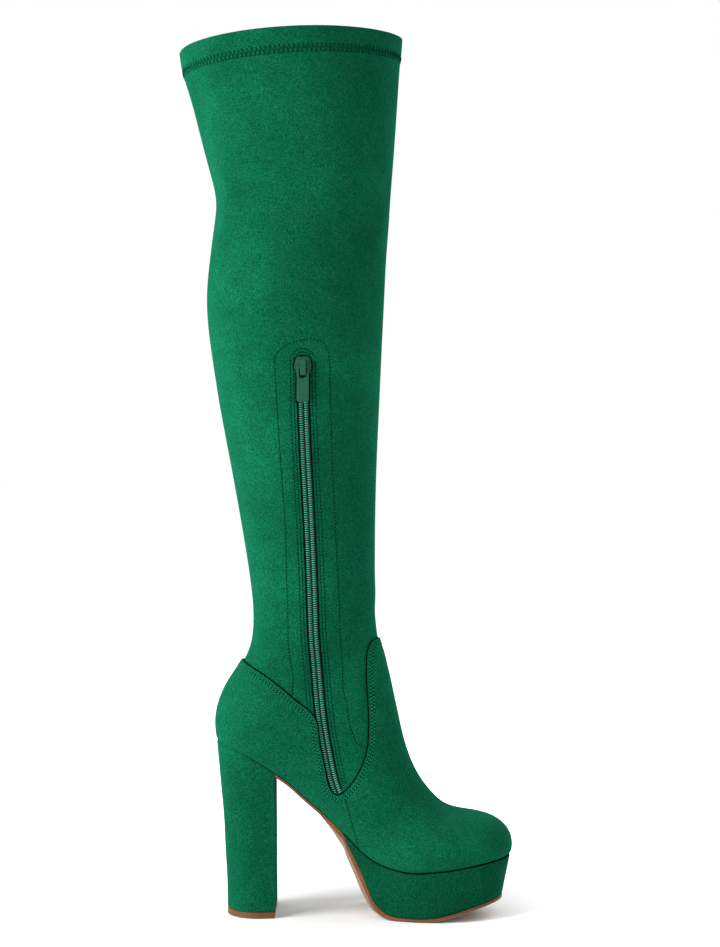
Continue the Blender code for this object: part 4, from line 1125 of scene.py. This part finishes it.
def noise(tree, scale, detail, roughness=0.5, distortion=0.0):
    """A noise texture over the piece's own coordinates."""
    place = tree.nodes.new("ShaderNodeTexCoord")
    texture = tree.nodes.new("ShaderNodeTexNoise")
    texture.inputs["Scale"].default_value = scale
    texture.inputs["Detail"].default_value = detail
    texture.inputs["Roughness"].default_value = roughness
    texture.inputs["Distortion"].default_value = distortion
    tree.links.new(place.outputs["Object"], texture.inputs["Vector"])
    return texture


def ramp(tree, source, stops):
    """A colour ramp driven by a source socket."""
    node = tree.nodes.new("ShaderNodeValToRGB")
    elements = node.color_ramp.elements
    elements[0].position = stops[0][0]
    elements[0].color = (*stops[0][1], 1.0)
    elements[1].position = stops[-1][0]
    elements[1].color = (*stops[-1][1], 1.0)
    for position, colour in stops[1:-1]:
        element = elements.new(position)
        element.color = (*colour, 1.0)
    tree.links.new(source, node.inputs["Fac"])
    return node.outputs["Color"]


def mixed(tree, mode, factor, first, second):
    """Two colours mixed."""
    node = tree.nodes.new("ShaderNodeMix")
    node.data_type = "RGBA"
    node.blend_type = mode
    node.inputs["Factor"].default_value = factor
    tree.links.new(first, node.inputs["A"])
    tree.links.new(second, node.inputs["B"])
    return node.outputs["Result"]


def bumped(tree, shader, layers):
    """Stack bumps on a shader. layers are (height socket, strength, distance)."""
    last = None
    for height, strength, distance in layers:
        node = tree.nodes.new("ShaderNodeBump")
        node.inputs["Strength"].default_value = strength
        node.inputs["Distance"].default_value = distance
        tree.links.new(height, node.inputs["Height"])
        if last is not None:
            tree.links.new(last, node.inputs["Normal"])
        last = node.outputs["Normal"]
    tree.links.new(last, shader.inputs["Normal"])


def suede_material(name, shade=1.0):
    """Dyed suede: a soft nap with brushed clouds and a fine grain."""
    material, tree, shader = node_material(name)
    clouds = noise(tree, 14.0, 3.0, 0.55, 0.6)
    patches = noise(tree, 75.0, 5.0, 0.6, 0.4)
    grain = noise(tree, 900.0, 2.0, 0.6)

    def tone(level):
        return tuple(c * level * shade for c in SUEDE_COLOUR)

    base = ramp(tree, clouds.outputs["Fac"], [(0.32, tone(0.80)), (0.52, tone(1.0)),
                                              (0.70, tone(1.22))])
    spots = ramp(tree, patches.outputs["Fac"], [(0.30, (0.88,) * 3), (0.50, (1.0,) * 3),
                                                (0.72, (1.10,) * 3)])
    fibres = ramp(tree, grain.outputs["Fac"], [(0.30, (0.52,) * 3), (0.50, (1.0,) * 3),
                                               (0.70, (1.60,) * 3)])
    colour = mixed(tree, "MULTIPLY", 1.0, base, spots)
    colour = mixed(tree, "MULTIPLY", 1.0, colour, fibres)
    tree.links.new(colour, shader.inputs["Base Color"])
    shader.inputs["Roughness"].default_value = 0.95
    shader.inputs["Specular IOR Level"].default_value = 0.0
    shader.inputs["Sheen Weight"].default_value = 0.10
    shader.inputs["Sheen Roughness"].default_value = 0.55
    shader.inputs["Sheen Tint"].default_value = (0.08, 0.85, 0.5, 1.0)
    bumped(tree, shader, [(patches.outputs["Fac"], 0.25, 0.0012),
                          (grain.outputs["Fac"], 0.5, 0.0005)])
    return material


def tan_material(name, dark, light, streak):
    """Painted sole edge or heel top piece, with faint long streaks."""
    material, tree, shader = node_material(name)
    place = tree.nodes.new("ShaderNodeTexCoord")
    stretch = tree.nodes.new("ShaderNodeMapping")
    stretch.inputs["Scale"].default_value = streak
    texture = tree.nodes.new("ShaderNodeTexNoise")
    texture.inputs["Scale"].default_value = 60.0
    texture.inputs["Detail"].default_value = 4.0
    tree.links.new(place.outputs["Object"], stretch.inputs["Vector"])
    tree.links.new(stretch.outputs["Vector"], texture.inputs["Vector"])
    fine = noise(tree, 600.0, 2.0)
    base = ramp(tree, texture.outputs["Fac"], [(0.3, dark), (0.7, light)])
    speck = ramp(tree, fine.outputs["Fac"], [(0.3, (0.92,) * 3), (0.7, (1.06,) * 3)])
    tree.links.new(mixed(tree, "MULTIPLY", 1.0, base, speck), shader.inputs["Base Color"])
    shader.inputs["Roughness"].default_value = 0.55
    shader.inputs["Specular IOR Level"].default_value = 0.2
    bumped(tree, shader, [(texture.outputs["Fac"], 0.2, 0.0004)])
    return material


def thread_material(name, colour, roughness=0.7):
    """Twisted thread, or a plain near black for painted shade in needle holes and dark lines, with
    a fine uneven tone.
    """
    material, tree, shader = node_material(name)
    texture = noise(tree, 1500.0, 1.0)
    tones = ramp(tree, texture.outputs["Fac"], [(0.3, tuple(c * 0.8 for c in colour)),
                                                (0.7, tuple(c * 1.2 for c in colour))])
    tree.links.new(tones, shader.inputs["Base Color"])
    shader.inputs["Roughness"].default_value = roughness
    shader.inputs["Specular IOR Level"].default_value = 0.0
    return material


def paint_material(name, colour, roughness, gloss):
    """Green painted zip parts."""
    material, tree, shader = node_material(name)
    texture = noise(tree, 300.0, 3.0)
    tones = ramp(tree, texture.outputs["Fac"], [(0.3, tuple(c * 0.88 for c in colour)),
                                                (0.7, tuple(c * 1.1 for c in colour))])
    tree.links.new(tones, shader.inputs["Base Color"])
    shader.inputs["Roughness"].default_value = roughness
    shader.inputs["Specular IOR Level"].default_value = gloss
    bumped(tree, shader, [(texture.outputs["Fac"], 0.15, 0.0001)])
    return material


def woven_material(name, colour):
    """Woven tape or lining cloth."""
    material, tree, shader = node_material(name)
    place = tree.nodes.new("ShaderNodeTexCoord")
    weave = tree.nodes.new("ShaderNodeTexWave")
    weave.wave_type = "BANDS"
    weave.bands_direction = "Z"
    weave.inputs["Scale"].default_value = 320.0
    weave.inputs["Distortion"].default_value = 1.5
    tree.links.new(place.outputs["Object"], weave.inputs["Vector"])
    tones = ramp(tree, weave.outputs["Fac"], [(0.2, tuple(c * 0.75 for c in colour)),
                                              (0.8, tuple(c * 1.2 for c in colour))])
    tree.links.new(tones, shader.inputs["Base Color"])
    shader.inputs["Roughness"].default_value = 0.9
    bumped(tree, shader, [(weave.outputs["Fac"], 0.3, 0.0003)])
    return material


SUEDE = suede_material("green_suede_nap")
# the same suede made darker for the platform: painted shade
SUEDE_SHADED_COVER = suede_material("green_suede_cover_painted_shade", COVER_PAINTED_SHADE)
TAN_EDGE = tan_material("tan_sole_edge", (0.076, 0.031, 0.0090), (0.110, 0.047, 0.0145),
                        (0.25, 0.25, 3.0))
TAN_BEVEL = tan_material("tan_sole_bevel", (0.140, 0.082, 0.048), (0.215, 0.138, 0.088),
                         (0.2, 4.0, 0.2))
THREAD_GREEN = thread_material("green_thread", (0.010, 0.150, 0.080))
THREAD_SUEDE = thread_material("suede_green_thread", (0.0016, 0.046, 0.0215))
THREAD_DARK = thread_material("dark_green_thread", (0.002, 0.036, 0.018))
# needle holes are flat near black spots: painted shade in the holes
PIT_PAINTED_SHADE = thread_material("needle_hole_painted_shade", (0.0004, 0.007, 0.0035), 0.95)
# near black for the lines of painted shadow in gaps, grooves and recesses: panel edges, seams, the
# zip's slot, the hem and round the slider
PAINTED_SHADOW_DARK = thread_material("painted_shadow_line", (0.0002, 0.004, 0.002), 0.95)
COIL_GREEN = paint_material("zip_coil_nylon", (0.018, 0.175, 0.108), 0.34, 0.2)
PAINT_GREEN = paint_material("zip_painted_metal", (0.004, 0.046, 0.025), 0.36, 0.16)
# the tape's green is darkened to near black: painted shade, for the tape lies in shadow behind the
# slot
TAPE_PAINTED_SHADE = woven_material("zip_tape_weave_painted_shade", (0.0006, 0.008, 0.0045))
LINING = woven_material("insole_lining_cloth", (0.42, 0.33, 0.24))


def fine_topline(lap):
    """The upper's top edge in short steps."""
    line = np.array(topline(lap))
    way = np.concatenate([[0.0], np.cumsum(np.linalg.norm(np.diff(line, axis=0), axis=1))])
    x = smooth_curve(way, line[:, 0])
    z = smooth_curve(way, line[:, 1])
    stops = np.linspace(0, way[-1], 3 * len(line))
    return list(zip(x(stops), z(stops)))


def fine_rows(start, end, step, toe=False):
    """Sections at even steps, closer together at the toe's tip."""
    rows = []
    s = start
    while s < end:
        rows.append(s)
        near = np.clip(s / 0.02, 0, 1)
        s += TOE_STEP + (step - TOE_STEP) * near if toe else step
    return rows + [end]


SKIN_TURN = np.linspace(-1, 1, SKIN_TURNS)
TAIL = platform_tail()
TOP = fine_topline(0.0)


def above_topline(surface):
    """Signed distance above the upper's top edge for each point of a skin."""
    points = surface[0]
    distance, sign, _ = polyline_distance(points[..., 0], points[..., 2], TOP)
    return distance * sign


def build_upper_skin():
    """The suede upper with its real wall."""
    rows = fine_rows(0.0, KNOTS[UPPER_END], ROW_STEP, toe=True)
    outer = skin(rows, SKIN_TURN, [GAP + UPPER_WALL] * len(rows), GAP / 2, rolled=True)
    inner = skin(rows, SKIN_TURN, [GAP] * len(rows), GAP / 2)
    upper = wall_between("upper_skin", outer[0], inner[0], SUEDE)
    region = TOP + [(-REACH, TOP[-1][1]), (-REACH, 3 * REACH), (REACH, 3 * REACH),
                    (REACH, TOP[0][1])]
    cut(upper, prism("cut_fine_topline", region, -REACH, REACH))
    finished(applied(upper), "boot", "green_suede", "upper")
    return outer


def hem_offset(s, hem):
    """How far the hem stands out at a section."""
    up = s - hem
    rise = float(np.clip((up + HEM_RAMP) / HEM_RAMP, 0, 1))
    offset = HEM_STEP * rise * rise * (3 - 2 * rise)
    groove = HEM_GROOVE * math.exp(-((up - HEM_GROOVE_LEVEL) / HEM_GROOVE_WIDTH)**2)
    top = COLLAR_END - s
    rounded = COLLAR_ROUND * max(0.0, 1 - top / COLLAR_ROUND_HEIGHT)**2
    return offset - groove - rounded


def build_shaft_skin():
    """The suede leg with its hem and the zip's slot."""
    hem = row_at_front(BOOT_HEIGHT - HEM_HEIGHT)
    rows = fine_rows(KNOTS[SHAFT_START], hem - 4 * HEM_ROW, ROW_STEP)
    rows += list(np.linspace(hem - 3 * HEM_ROW, COLLAR_END, 28))
    outer = skin(rows, SKIN_TURN, [hem_offset(s, hem) for s in rows], 0.0)
    inner = skin(rows, SKIN_TURN, [-SHAFT_WALL] * len(rows), 0.0)
    shaft = wall_between("shaft_skin", outer[0], inner[0], SUEDE)
    low = fine_topline(LAP)
    region = low + [(-REACH, low[-1][1]), (-REACH, -REACH), (REACH, -REACH), (REACH, low[0][1])]
    cut(shaft, prism("cut_fine_shaft_below", region, -REACH, REACH))
    half = SLOT_WIDTH / 2
    heights = np.linspace(ZIP_BOTTOM - ZIP_END_DROP / 2, ZIP_TOP - half, 120)
    slot = [(zip_middle(z) + half, z) for z in heights]
    top = zip_middle(ZIP_TOP - half)
    slot += [(top + half * math.cos(a), ZIP_TOP - half + half * math.sin(a))
             for a in np.linspace(0, math.pi, 17)[1:-1]]
    slot += [(zip_middle(z) - half, z) for z in heights[::-1]]
    cut(shaft, prism("cut_fine_slot", slot, -REACH, 0.0))
    finished(applied(shaft), "boot", "green_suede", "shaft")
    return outer, hem


def rounded_stack(name, runs_at, levels, materials, pick):
    """A closed solid through stacked outlines, with a material for each band."""
    layers = [runs_at(level) for level in levels]
    points = []
    index = []
    for medial, lateral in layers:
        index.append((list(range(len(points), len(points) + len(medial))),
                      list(range(len(points) + len(medial),
                                 len(points) + len(medial) + len(lateral)))))
        points += [tuple(p) for p in medial] + [tuple(p) for p in lateral]
    faces = []
    indices = []
    for band, (lower, upper) in enumerate(zip(index, index[1:])):
        for side in (0, 1):
            for i in range(len(lower[side]) - 1):
                ring = (lower[side][i], lower[side][i + 1], upper[side][i + 1], upper[side][i])
                faces.append(ring if side == 1 else ring[::-1])
                indices.append(pick(band))
        for i in (0, -1):
            ring = (lower[0][i], lower[1][i], upper[1][i], upper[0][i])
            faces.append(ring if i == 0 else ring[::-1])
            indices.append(pick(band))
    for run, band in ((index[0], 0), (index[-1], len(index) - 2)):
        for i in range(len(run[0]) - 1):
            faces.append((run[0][i], run[0][i + 1], run[1][i + 1], run[1][i]))
            indices.append(pick(band))
    bm = bmesh.new()
    verts = [bm.verts.new(p) for p in points]
    for face, number in zip(faces, indices):
        made = bm.faces.new([verts[v] for v in face])
        made.material_index = number
    bmesh.ops.remove_doubles(bm, verts=bm.verts, dist=2e-6)
    obj = new_object(name, bm, materials[0])
    for material in materials[1:]:
        obj.data.materials.append(material)
    return obj


def even_stops(start, end, count):
    """Places along the seat, heel end first, closer together at the toe's tip."""
    share = np.linspace(1, 0, count)
    if start < STEP:
        share = share**1.7
    return list(start + (end - start) * share)


def build_platform_cover():
    """The suede cover of the platform, with soft top and bottom edges."""
    stops = even_stops(0.0, TAIL, 150)

    def at(level):
        def offset(s):
            wide = GAP + UPPER_WALL + PLATFORM_FLANGE
            low = sole_edge_offset(s)
            plain = low + (wide - low) * level
            edge = min(level, 1 - level) / 0.06
            return plain - PLATFORM_ROUND * max(0.0, 1 - edge)**2

        def height(x):
            bottom = sole_top(x) + GAP / 2
            return bottom + level * (feather(x) - GAP / 2 - bottom)

        return outline(stops, offset, height)

    levels = [0.0, 0.012, 0.03, 0.06, 0.15, 0.3, 0.5, 0.7, 0.85, 0.94, 0.97, 0.988, 1.0]
    # its suede is the darker copy, painted shade
    cover = rounded_stack("platform_cover", at, levels, [SUEDE_SHADED_COVER], lambda band: 0)
    finished(cover, "boot", "green_suede", "platform")


def build_outsole_skin():
    """The tan sole with its painted edge and paler bevel."""
    stops = even_stops(0.0, sole_stop(BREAST + GAP), 220)

    def at(level):
        def drop(x):
            thick = SOLE_THICKNESS(share_along(x)) * SOLE_EDGE - GAP / 2
            square = SOLE_SQUARE(share_along(x))
            share = square * min(level, 1.0) + (1 - square) * max(level - 1.0, 0.0)
            return sole_top(x) - GAP / 2 - thick * share

        def offset(s):
            x = section_value("bottom_x", s)
            slope = np.clip((SOLE_THICKNESS(share_along(x)) - 1) / 2, 0, 1)
            inward = (SOLE_EDGE / 8 + SOLE_BEVEL * slope) * max(level - 1.0, 0.0)
            return sole_edge_offset(s) - inward - SOLE_ROUND * max(0.0, 1 - 8 * level)

        return outline(stops, offset, drop)

    levels = [2.0, 1.9, 1.5, 1.1, 1.0, 0.9, 0.5, 0.12, 0.0]
    sole = rounded_stack("outsole_skin", at, levels, [TAN_EDGE, TAN_BEVEL],
                         lambda band: 1 if band < 3 else 0)
    finished(sole, "boot", "tan_sole", "outsole")


def fine_heel_outline(flare, inset):
    """The heel's outline in fine steps, drawn in by an inset."""
    stops = even_stops(sole_stop(BREAST - GAP), HEEL_CORNER, 90)
    seat = outline(stops, GAP + UPPER_WALL - inset, lambda x: 0.0)
    back = outline([HEEL_CORNER], GAP + UPPER_WALL, lambda x: 0.0)[0][0][0]
    front = BREAST - GAP
    shrink = (HEEL_BOTTOM_FRONT + HEEL_BOTTOM_BACK) / (front - back)
    runs = []
    for run in seat:
        moved = []
        for x, y, _ in run:
            low_x = HEEL_BOTTOM_FRONT - (front - x) * shrink
            moved.append((low_x + (x - low_x) * flare,
                          y * (HEEL_BOTTOM_TAPER + (1 - HEEL_BOTTOM_TAPER) * flare), x))
        runs.append(moved)
    return runs


def build_heel_cover():
    """The suede cover of the block heel, with a soft top edge."""
    flares = table(HEEL_FLARE_ROWS, HEEL_FLARE_COLUMNS)
    flare_at = smooth_curve(flares["level"], flares["flare"])

    def at(level):
        edge = min((1 - level) / 0.012, level / 0.006, 1.0)
        runs = []
        for run in fine_heel_outline(float(flare_at(level)), HEEL_ROUND * (1 - edge)**2):
            runs.append([(x, y, TOP_PIECE + level * (float(feather(seat_x)) - GAP / 2 - TOP_PIECE))
                         for x, y, seat_x in run])
        return runs

    levels = [0.0, 0.003, 0.006] + list(np.linspace(0.03, 0.96, 32)) + [0.988, 0.994, 1.0]
    heel = rounded_stack("heel_cover", at, levels, [SUEDE], lambda band: 0)
    finished(heel, "boot", "green_suede", "heel")


def build_top_piece_skin():
    """The tan wearing piece with softened edges."""
    def at(level):
        edge = min(level / 0.08, (1 - level) / 0.06, 1.0)
        runs = fine_heel_outline(0.0, TOP_PIECE_ROUND * (1 - edge)**2)
        return [[(x, y, level * (TOP_PIECE - GAP)) for x, y, _ in run] for run in runs]

    piece = rounded_stack("heel_top_piece_skin", at, [0.0, 0.03, 0.08, 0.5, 0.94, 0.97, 1.0],
                          [TAN_EDGE], lambda band: 0)
    finished(piece, "boot", "tan_sole", "heel_top_piece")


def build_teeth(shaft):
    """The coil's two rows of teeth along the slot."""
    points = shaft[0]
    field = points[..., 0] - zip_middle(points[..., 2])
    field[:, SKIN_TURNS // 2:] = 1.0
    middle = max(surface_lines(shaft, field, lambda at: (at[:, 2] > ZIP_BOTTOM - 0.002)
                               & (at[:, 2] < COIL_TOP) & (at[:, 1] < 0)),
                 key=lambda line: len(line[0]))
    if middle[0][0, 2] > middle[0][-1, 2]:
        middle = (middle[0][::-1], middle[1][::-1])
    bars = []
    for side in (-1, 1):
        at, up, tangent = resampled(middle, TOOTH_PITCH, TOOTH_PITCH * (0.25 + 0.25 * side))
        for centre, normal, way in zip(at, up, tangent):
            across = np.cross(normal, way) * side
            reach = COIL_WIDTH / 2
            heart = centre + across * (reach * 0.57) + normal * (COIL_PROUD - TOOTH_RADIUS)
            lean = across + way * 0.10
            bars.append((heart, lean / np.linalg.norm(lean), normal, reach * 0.84, TOOTH_RADIUS,
                         TOOTH_RADIUS * 0.75))
    verts, faces = capsules(bars, sides=7)
    teeth = plain_mesh("zip_teeth", verts, faces, [COIL_GREEN])
    finished(teeth, "boot", "zip_coil_green", "zip_coil")


def build_slider_shadows():
    """Painted shadow: a dark line round the slider and its tab, and a dark sheet in the recess
    under the crown.
    """
    middle = zip_middle(SLIDER_MIDDLE)
    side = TAB_WIDTH / 2 + SLIDER_LINE
    half = [(side, SLIDER_MIDDLE - TAB_LENGTH), (side, SLIDER_MIDDLE - SLIDER_REACH)]
    half += [(wide * share / 2 + SLIDER_LINE, SLIDER_MIDDLE + high * SLIDER_HEIGHT / 2)
             for wide, share, high in SLIDER_OUTLINE[2:]]
    half += [(half[-1][0] * 0.8, half[-1][1] + SLIDER_LINE)]
    ring = np.array([(middle + a, b) for a, b in half] + [(middle - a, b) for a, b in half[::-1]])
    way = np.concatenate([[0.0], np.cumsum(np.linalg.norm(np.diff(ring, axis=0), axis=1))])
    stops = np.arange(0, way[-1], SLIDER_LINE)
    line = list(zip(np.interp(stops, way, ring[:, 0]), np.interp(stops, way, ring[:, 1])))
    low = np.array([side_point(x, z, MEDIAL, 0.0) for x, z in line])
    high = np.array([side_point(x, z, MEDIAL, SLOT_LINE) for x, z in line])
    tubes("slider_shadow_outline", [(low, (high - low) / SLOT_LINE)], SLIDER_LINE, 0.0, PAINTED_SHADOW_DARK,
          step=SLIDER_LINE)
    # a near black sheet under the tab's window: painted shadow in the recess
    frame_at = slider_frame()
    reach = TAB_WIDTH / 2 - TAB_ARM
    corners = [(-reach, -SLIDER_HEIGHT / 2), (reach, -SLIDER_HEIGHT / 2), (reach, TAB_THICKNESS),
               (-reach, TAB_THICKNESS)]
    points = [placed(frame_at, a, b, SLIDER_PLATE + RECESS_LIFT) for a, b in corners]
    finished(plain_mesh("slider_recess_shadow", points, [(0, 1, 2, 3)], [PAINTED_SHADOW_DARK]), "boot",
             "zip_green_paint")


def build_seams(upper, shaft, hem):
    """Stitch rows, and dark lines of painted shadow along the panel edges, the zip's slot, the hem
    and the seams.
    """
    over_upper = above_topline(upper)
    over_shaft = above_topline(shaft)
    everywhere = lambda at: np.ones(len(at), bool)
    lines = []
    for inset in PANEL_ROWS:
        lines += surface_lines(upper, over_upper + inset, lambda at: at[:, 2] > 0.05)
    stitched("panel_stitches", lines, THREAD_GREEN, PIT_PAINTED_SHADE)

    # a dark line of painted shadow where the shaft meets the upper's top edge
    edge = surface_lines(shaft, over_shaft - EDGE_LINE, everywhere)
    tubes("panel_edge_shadow_lines", edge, EDGE_LINE, 0.0, PAINTED_SHADOW_DARK)

    zip_rows = []
    x = shaft[0][..., 0]
    z = shaft[0][..., 2]
    # dark lines of painted shadow along both edges of the zip's slot
    slot_shadow_lines = []
    for side in (-1, 1):
        field = x - zip_middle(z) - side * (SLOT_WIDTH / 2 + SLOT_LINE / 2)
        field[:, SKIN_TURNS // 2:] = side * -1.0
        slot_shadow_lines += surface_lines(shaft, field, lambda at: (at[:, 2] > ZIP_BOTTOM)
                                    & (at[:, 2] < SLIDER_MIDDLE) & (at[:, 1] < -0.01))
    tubes("slot_edge_shadow_lines", slot_shadow_lines, SLOT_LINE, 0.0, PAINTED_SHADOW_DARK)
    for away in ZIP_EDGE_ROWS:
        for side in (-1, 1):
            field = x - zip_middle(z) - side * (SLOT_WIDTH / 2 + away)
            field[:, SKIN_TURNS // 2:] = side * -1.0

            def keep(at):
                distance, sign, _ = polyline_distance(at[:, 0], at[:, 2], TOP)
                return ((distance * sign > 0.001) & (at[:, 2] < ZIP_TOP - 0.002)
                        & (at[:, 1] < -0.01))

            zip_rows += surface_lines(shaft, field, keep)
    facing, sign, _ = polyline_distance(x, z, FACING)
    ring = facing * sign
    ring[:, SKIN_TURNS // 2:] = 1.0

    def beside_zip(at):
        distance, side, _ = polyline_distance(at[:, 0], at[:, 2], TOP)
        _, _, share = polyline_distance(at[:, 0], at[:, 2], FACING)
        return ((distance * side > 0.001) & (at[:, 1] < -0.008) & (share > 0.001)
                & (share < 0.999))

    zip_rows += surface_lines(shaft, ring, beside_zip)
    arch = []
    for away in ZIP_EDGE_ROWS:
        top = zip_middle(ZIP_TOP)
        reach = SLOT_WIDTH / 2 + away
        field = np.hypot(x - top, (z - ZIP_TOP + SLOT_WIDTH / 2)) - reach
        field[:, SKIN_TURNS // 2:] = 1.0
        arch += surface_lines(shaft, field, lambda at: (at[:, 2] > ZIP_TOP - 0.002)
                              & (at[:, 1] < 0))
    stitched("zip_stitches", zip_rows + arch, THREAD_SUEDE, PIT_PAINTED_SHADE)

    rows_at = []
    for up in HEM_ZIGZAG:
        s = hem + up
        line = wall_row(s, SKIN_TURN, hem_offset(s, hem), 0.0)
        rows_at.append((line + section_normals(s, SKIN_TURN)
                        * relief(line, SKIN_TURN)[:, None], section_normals(s, SKIN_TURN)))
    # a dark line of painted shadow under the hem's lower edge
    line = wall_row(hem, SKIN_TURN, 0.0, 0.0)
    way = section_normals(hem, SKIN_TURN)
    tubes("hem_shadow_line", [(line + way * relief(line, SKIN_TURN)[:, None], way)], HEM_LINE,
          HEM_LINE / 2, PAINTED_SHADOW_DARK)
    bottom = resampled(rows_at[0], HEM_PITCH)
    top = resampled(rows_at[1], HEM_PITCH, HEM_PITCH / 2)
    count = min(len(bottom[0]), len(top[0]))
    bars = []
    holes = []
    for k in range(count):
        for a, b in ((k, k), (k + 1, k)):
            if a >= len(bottom[0]):
                continue
            start = bottom[0][a]
            end = top[0][b]
            normal = bottom[1][a]
            way = end - start
            length = np.linalg.norm(way)
            bars.append(((start + end) / 2 + normal * HEM_THREAD_LIFT, way / length, normal,
                         length * 0.9, THREAD, HEM_THREAD_SINK))
        for at, up, tangent in ((bottom[0][k], bottom[1][k], bottom[2][k]),
                                (top[0][k], top[1][k], top[2][k])):
            holes.append((at + up * HEM_HOLE_LIFT, tangent, up, *HEM_HOLE))
    points, faces = capsules(bars)
    more_points, more_faces = discs(holes)
    base = len(points)
    indices = [0] * len(faces) + [1] * len(more_faces)
    faces = faces + [tuple(base + v for v in face) for face in more_faces]
    finished(plain_mesh("hem_stitches", points + more_points, faces, [THREAD_DARK, PIT_PAINTED_SHADE],
                        indices), "boot", "green_suede")

    # the quarter seam drawn as a thin dark line: painted shadow in its groove
    seam = []
    for side in (-1, 1):
        distance, sign, share = polyline_distance(upper[0][..., 0], upper[0][..., 2],
                                                  QUARTER_SEAM)
        field = distance * sign
        half = SKIN_TURNS // 2
        if side < 0:
            field[:, half:] = 1.0
        else:
            field[:, :half + 1] = 1.0

        def near(at):
            over, way, _ = polyline_distance(at[:, 0], at[:, 2], TOP)
            return (over * way < -0.0012) & (at[:, 2] > 0.045) & (at[:, 1] * side > 0.01)

        seam += surface_lines(upper, field, near)
    tubes("quarter_seam_shadow", seam, QUARTER_LINE, QUARTER_LIFT, PAINTED_SHADOW_DARK)

    # a dark line of painted shadow in the groove where the upper meets the platform, broken at the
    # slit
    seat_lines = []
    for start, end in ((0.0, sole_stop(SEAM_BREAK[1])), (sole_stop(SEAM_BREAK[0]), TAIL)):
        for run in outline(even_stops(start, end, 120), GAP + UPPER_WALL, feather):
            run = np.array(run)
            seat_lines.append((run, np.repeat([[0.0, 0.0, 1.0]], len(run), axis=0)))
    tubes("platform_seam_shadow", seat_lines, SEAM_LINE, 0.0, PAINTED_SHADOW_DARK)


def build_room():
    """Floor with a painted shadow under the arch, lights and camera."""
    scene = bpy.context.scene
    scene.view_settings.view_transform = "Standard"
    scene.view_settings.look = "None"
    world = bpy.data.worlds.new("studio")
    scene.world = world
    world.use_nodes = True
    world.node_tree.nodes["Background"].inputs["Color"].default_value = (1, 1, 1, 1)
    world.node_tree.nodes["Background"].inputs["Strength"].default_value = 1.0
    mesh = bpy.data.meshes.new("floor")
    corners = [(x * FLOOR_REACH, y * FLOOR_REACH, 0)
               for x, y in ((-1, -1), (1, -1), (1, 1), (-1, 1))]
    mesh.from_pydata(corners, [], [(0, 1, 2, 3)])
    floor = bpy.data.objects.new("floor", mesh)
    scene.collection.objects.link(floor)
    material, tree, shader = node_material("white_floor_painted_shadow")
    place = tree.nodes.new("ShaderNodeTexCoord")
    reach = tree.nodes.new("ShaderNodeVectorMath")
    reach.operation = "DISTANCE"
    reach.inputs[1].default_value = FLOOR_SHADOW_CENTRE
    tree.links.new(place.outputs["Object"], reach.inputs[0])
    spread = tree.nodes.new("ShaderNodeMapRange")
    spread.inputs["From Min"].default_value = FLOOR_SHADOW_RADII[0]
    spread.inputs["From Max"].default_value = FLOOR_SHADOW_RADII[1]
    tree.links.new(reach.outputs["Value"], spread.inputs["Value"])
    # the floor's colour is darker near the arch: a painted contact shadow
    tone = ramp(tree, spread.outputs["Result"], [(0.0, (FLOOR_SHADOW_TONE,) * 3), (1.0, (1.0,) * 3)])
    tree.links.new(tone, shader.inputs["Base Color"])
    shader.inputs["Roughness"].default_value = 0.9
    shader.inputs["Specular IOR Level"].default_value = 0.0
    mesh.materials.append(material)

    def area(name, place, target, size, power):
        light = bpy.data.lights.new(name, "AREA")
        light.shape = "RECTANGLE"
        light.size = size[0]
        light.size_y = size[1]
        light.energy = power
        obj = bpy.data.objects.new(name, light)
        obj.location = place
        way = Vector(target) - Vector(place)
        obj.rotation_euler = way.to_track_quat("-Z", "Y").to_euler()
        scene.collection.objects.link(obj)

    for light in LIGHTS:
        area(*light)

    camera = bpy.data.cameras.new("camera")
    camera.sensor_width = CAMERA_SENSOR
    camera.lens = CAMERA_LENS
    eye = bpy.data.objects.new("camera", camera)
    eye.location = CAMERA_PLACE
    eye.rotation_euler = (math.pi / 2, 0.0, 0.0)
    scene.collection.objects.link(eye)
    scene.camera = eye


def dress_cad_nodes():
    """Materials and softened edges for the CAD nodes that stay in view."""
    for name, material, slot, bevel in (
            ("zip_slider", PAINT_GREEN, "zip_green_paint", 0.00035),
            ("zip_pull_tab", PAINT_GREEN, "zip_green_paint", 0.0003),
            ("zip_tape", TAPE_PAINTED_SHADE, "zip_tape_green", 0.0),
            ("insole", LINING, "insole_lining", 0.0)):
        node = frame["nodes"][name]
        node.data.materials.clear()
        node.data.materials.append(material)
        if bevel:
            weld = node.modifiers.new("weld", "WELD")
            weld.merge_threshold = STEP
            soft = node.modifiers.new("bevel", "BEVEL")
            soft.width = bevel
            soft.segments = 3
            soft.limit_method = "ANGLE"
            soft.angle_limit = math.radians(30)


UPPER = build_upper_skin()
SHAFT, HEM = build_shaft_skin()
build_platform_cover()
build_outsole_skin()
build_heel_cover()
build_top_piece_skin()
build_teeth(SHAFT)
build_seams(UPPER, SHAFT, HEM)
build_slider_shadows()
dress_cad_nodes()
build_room()
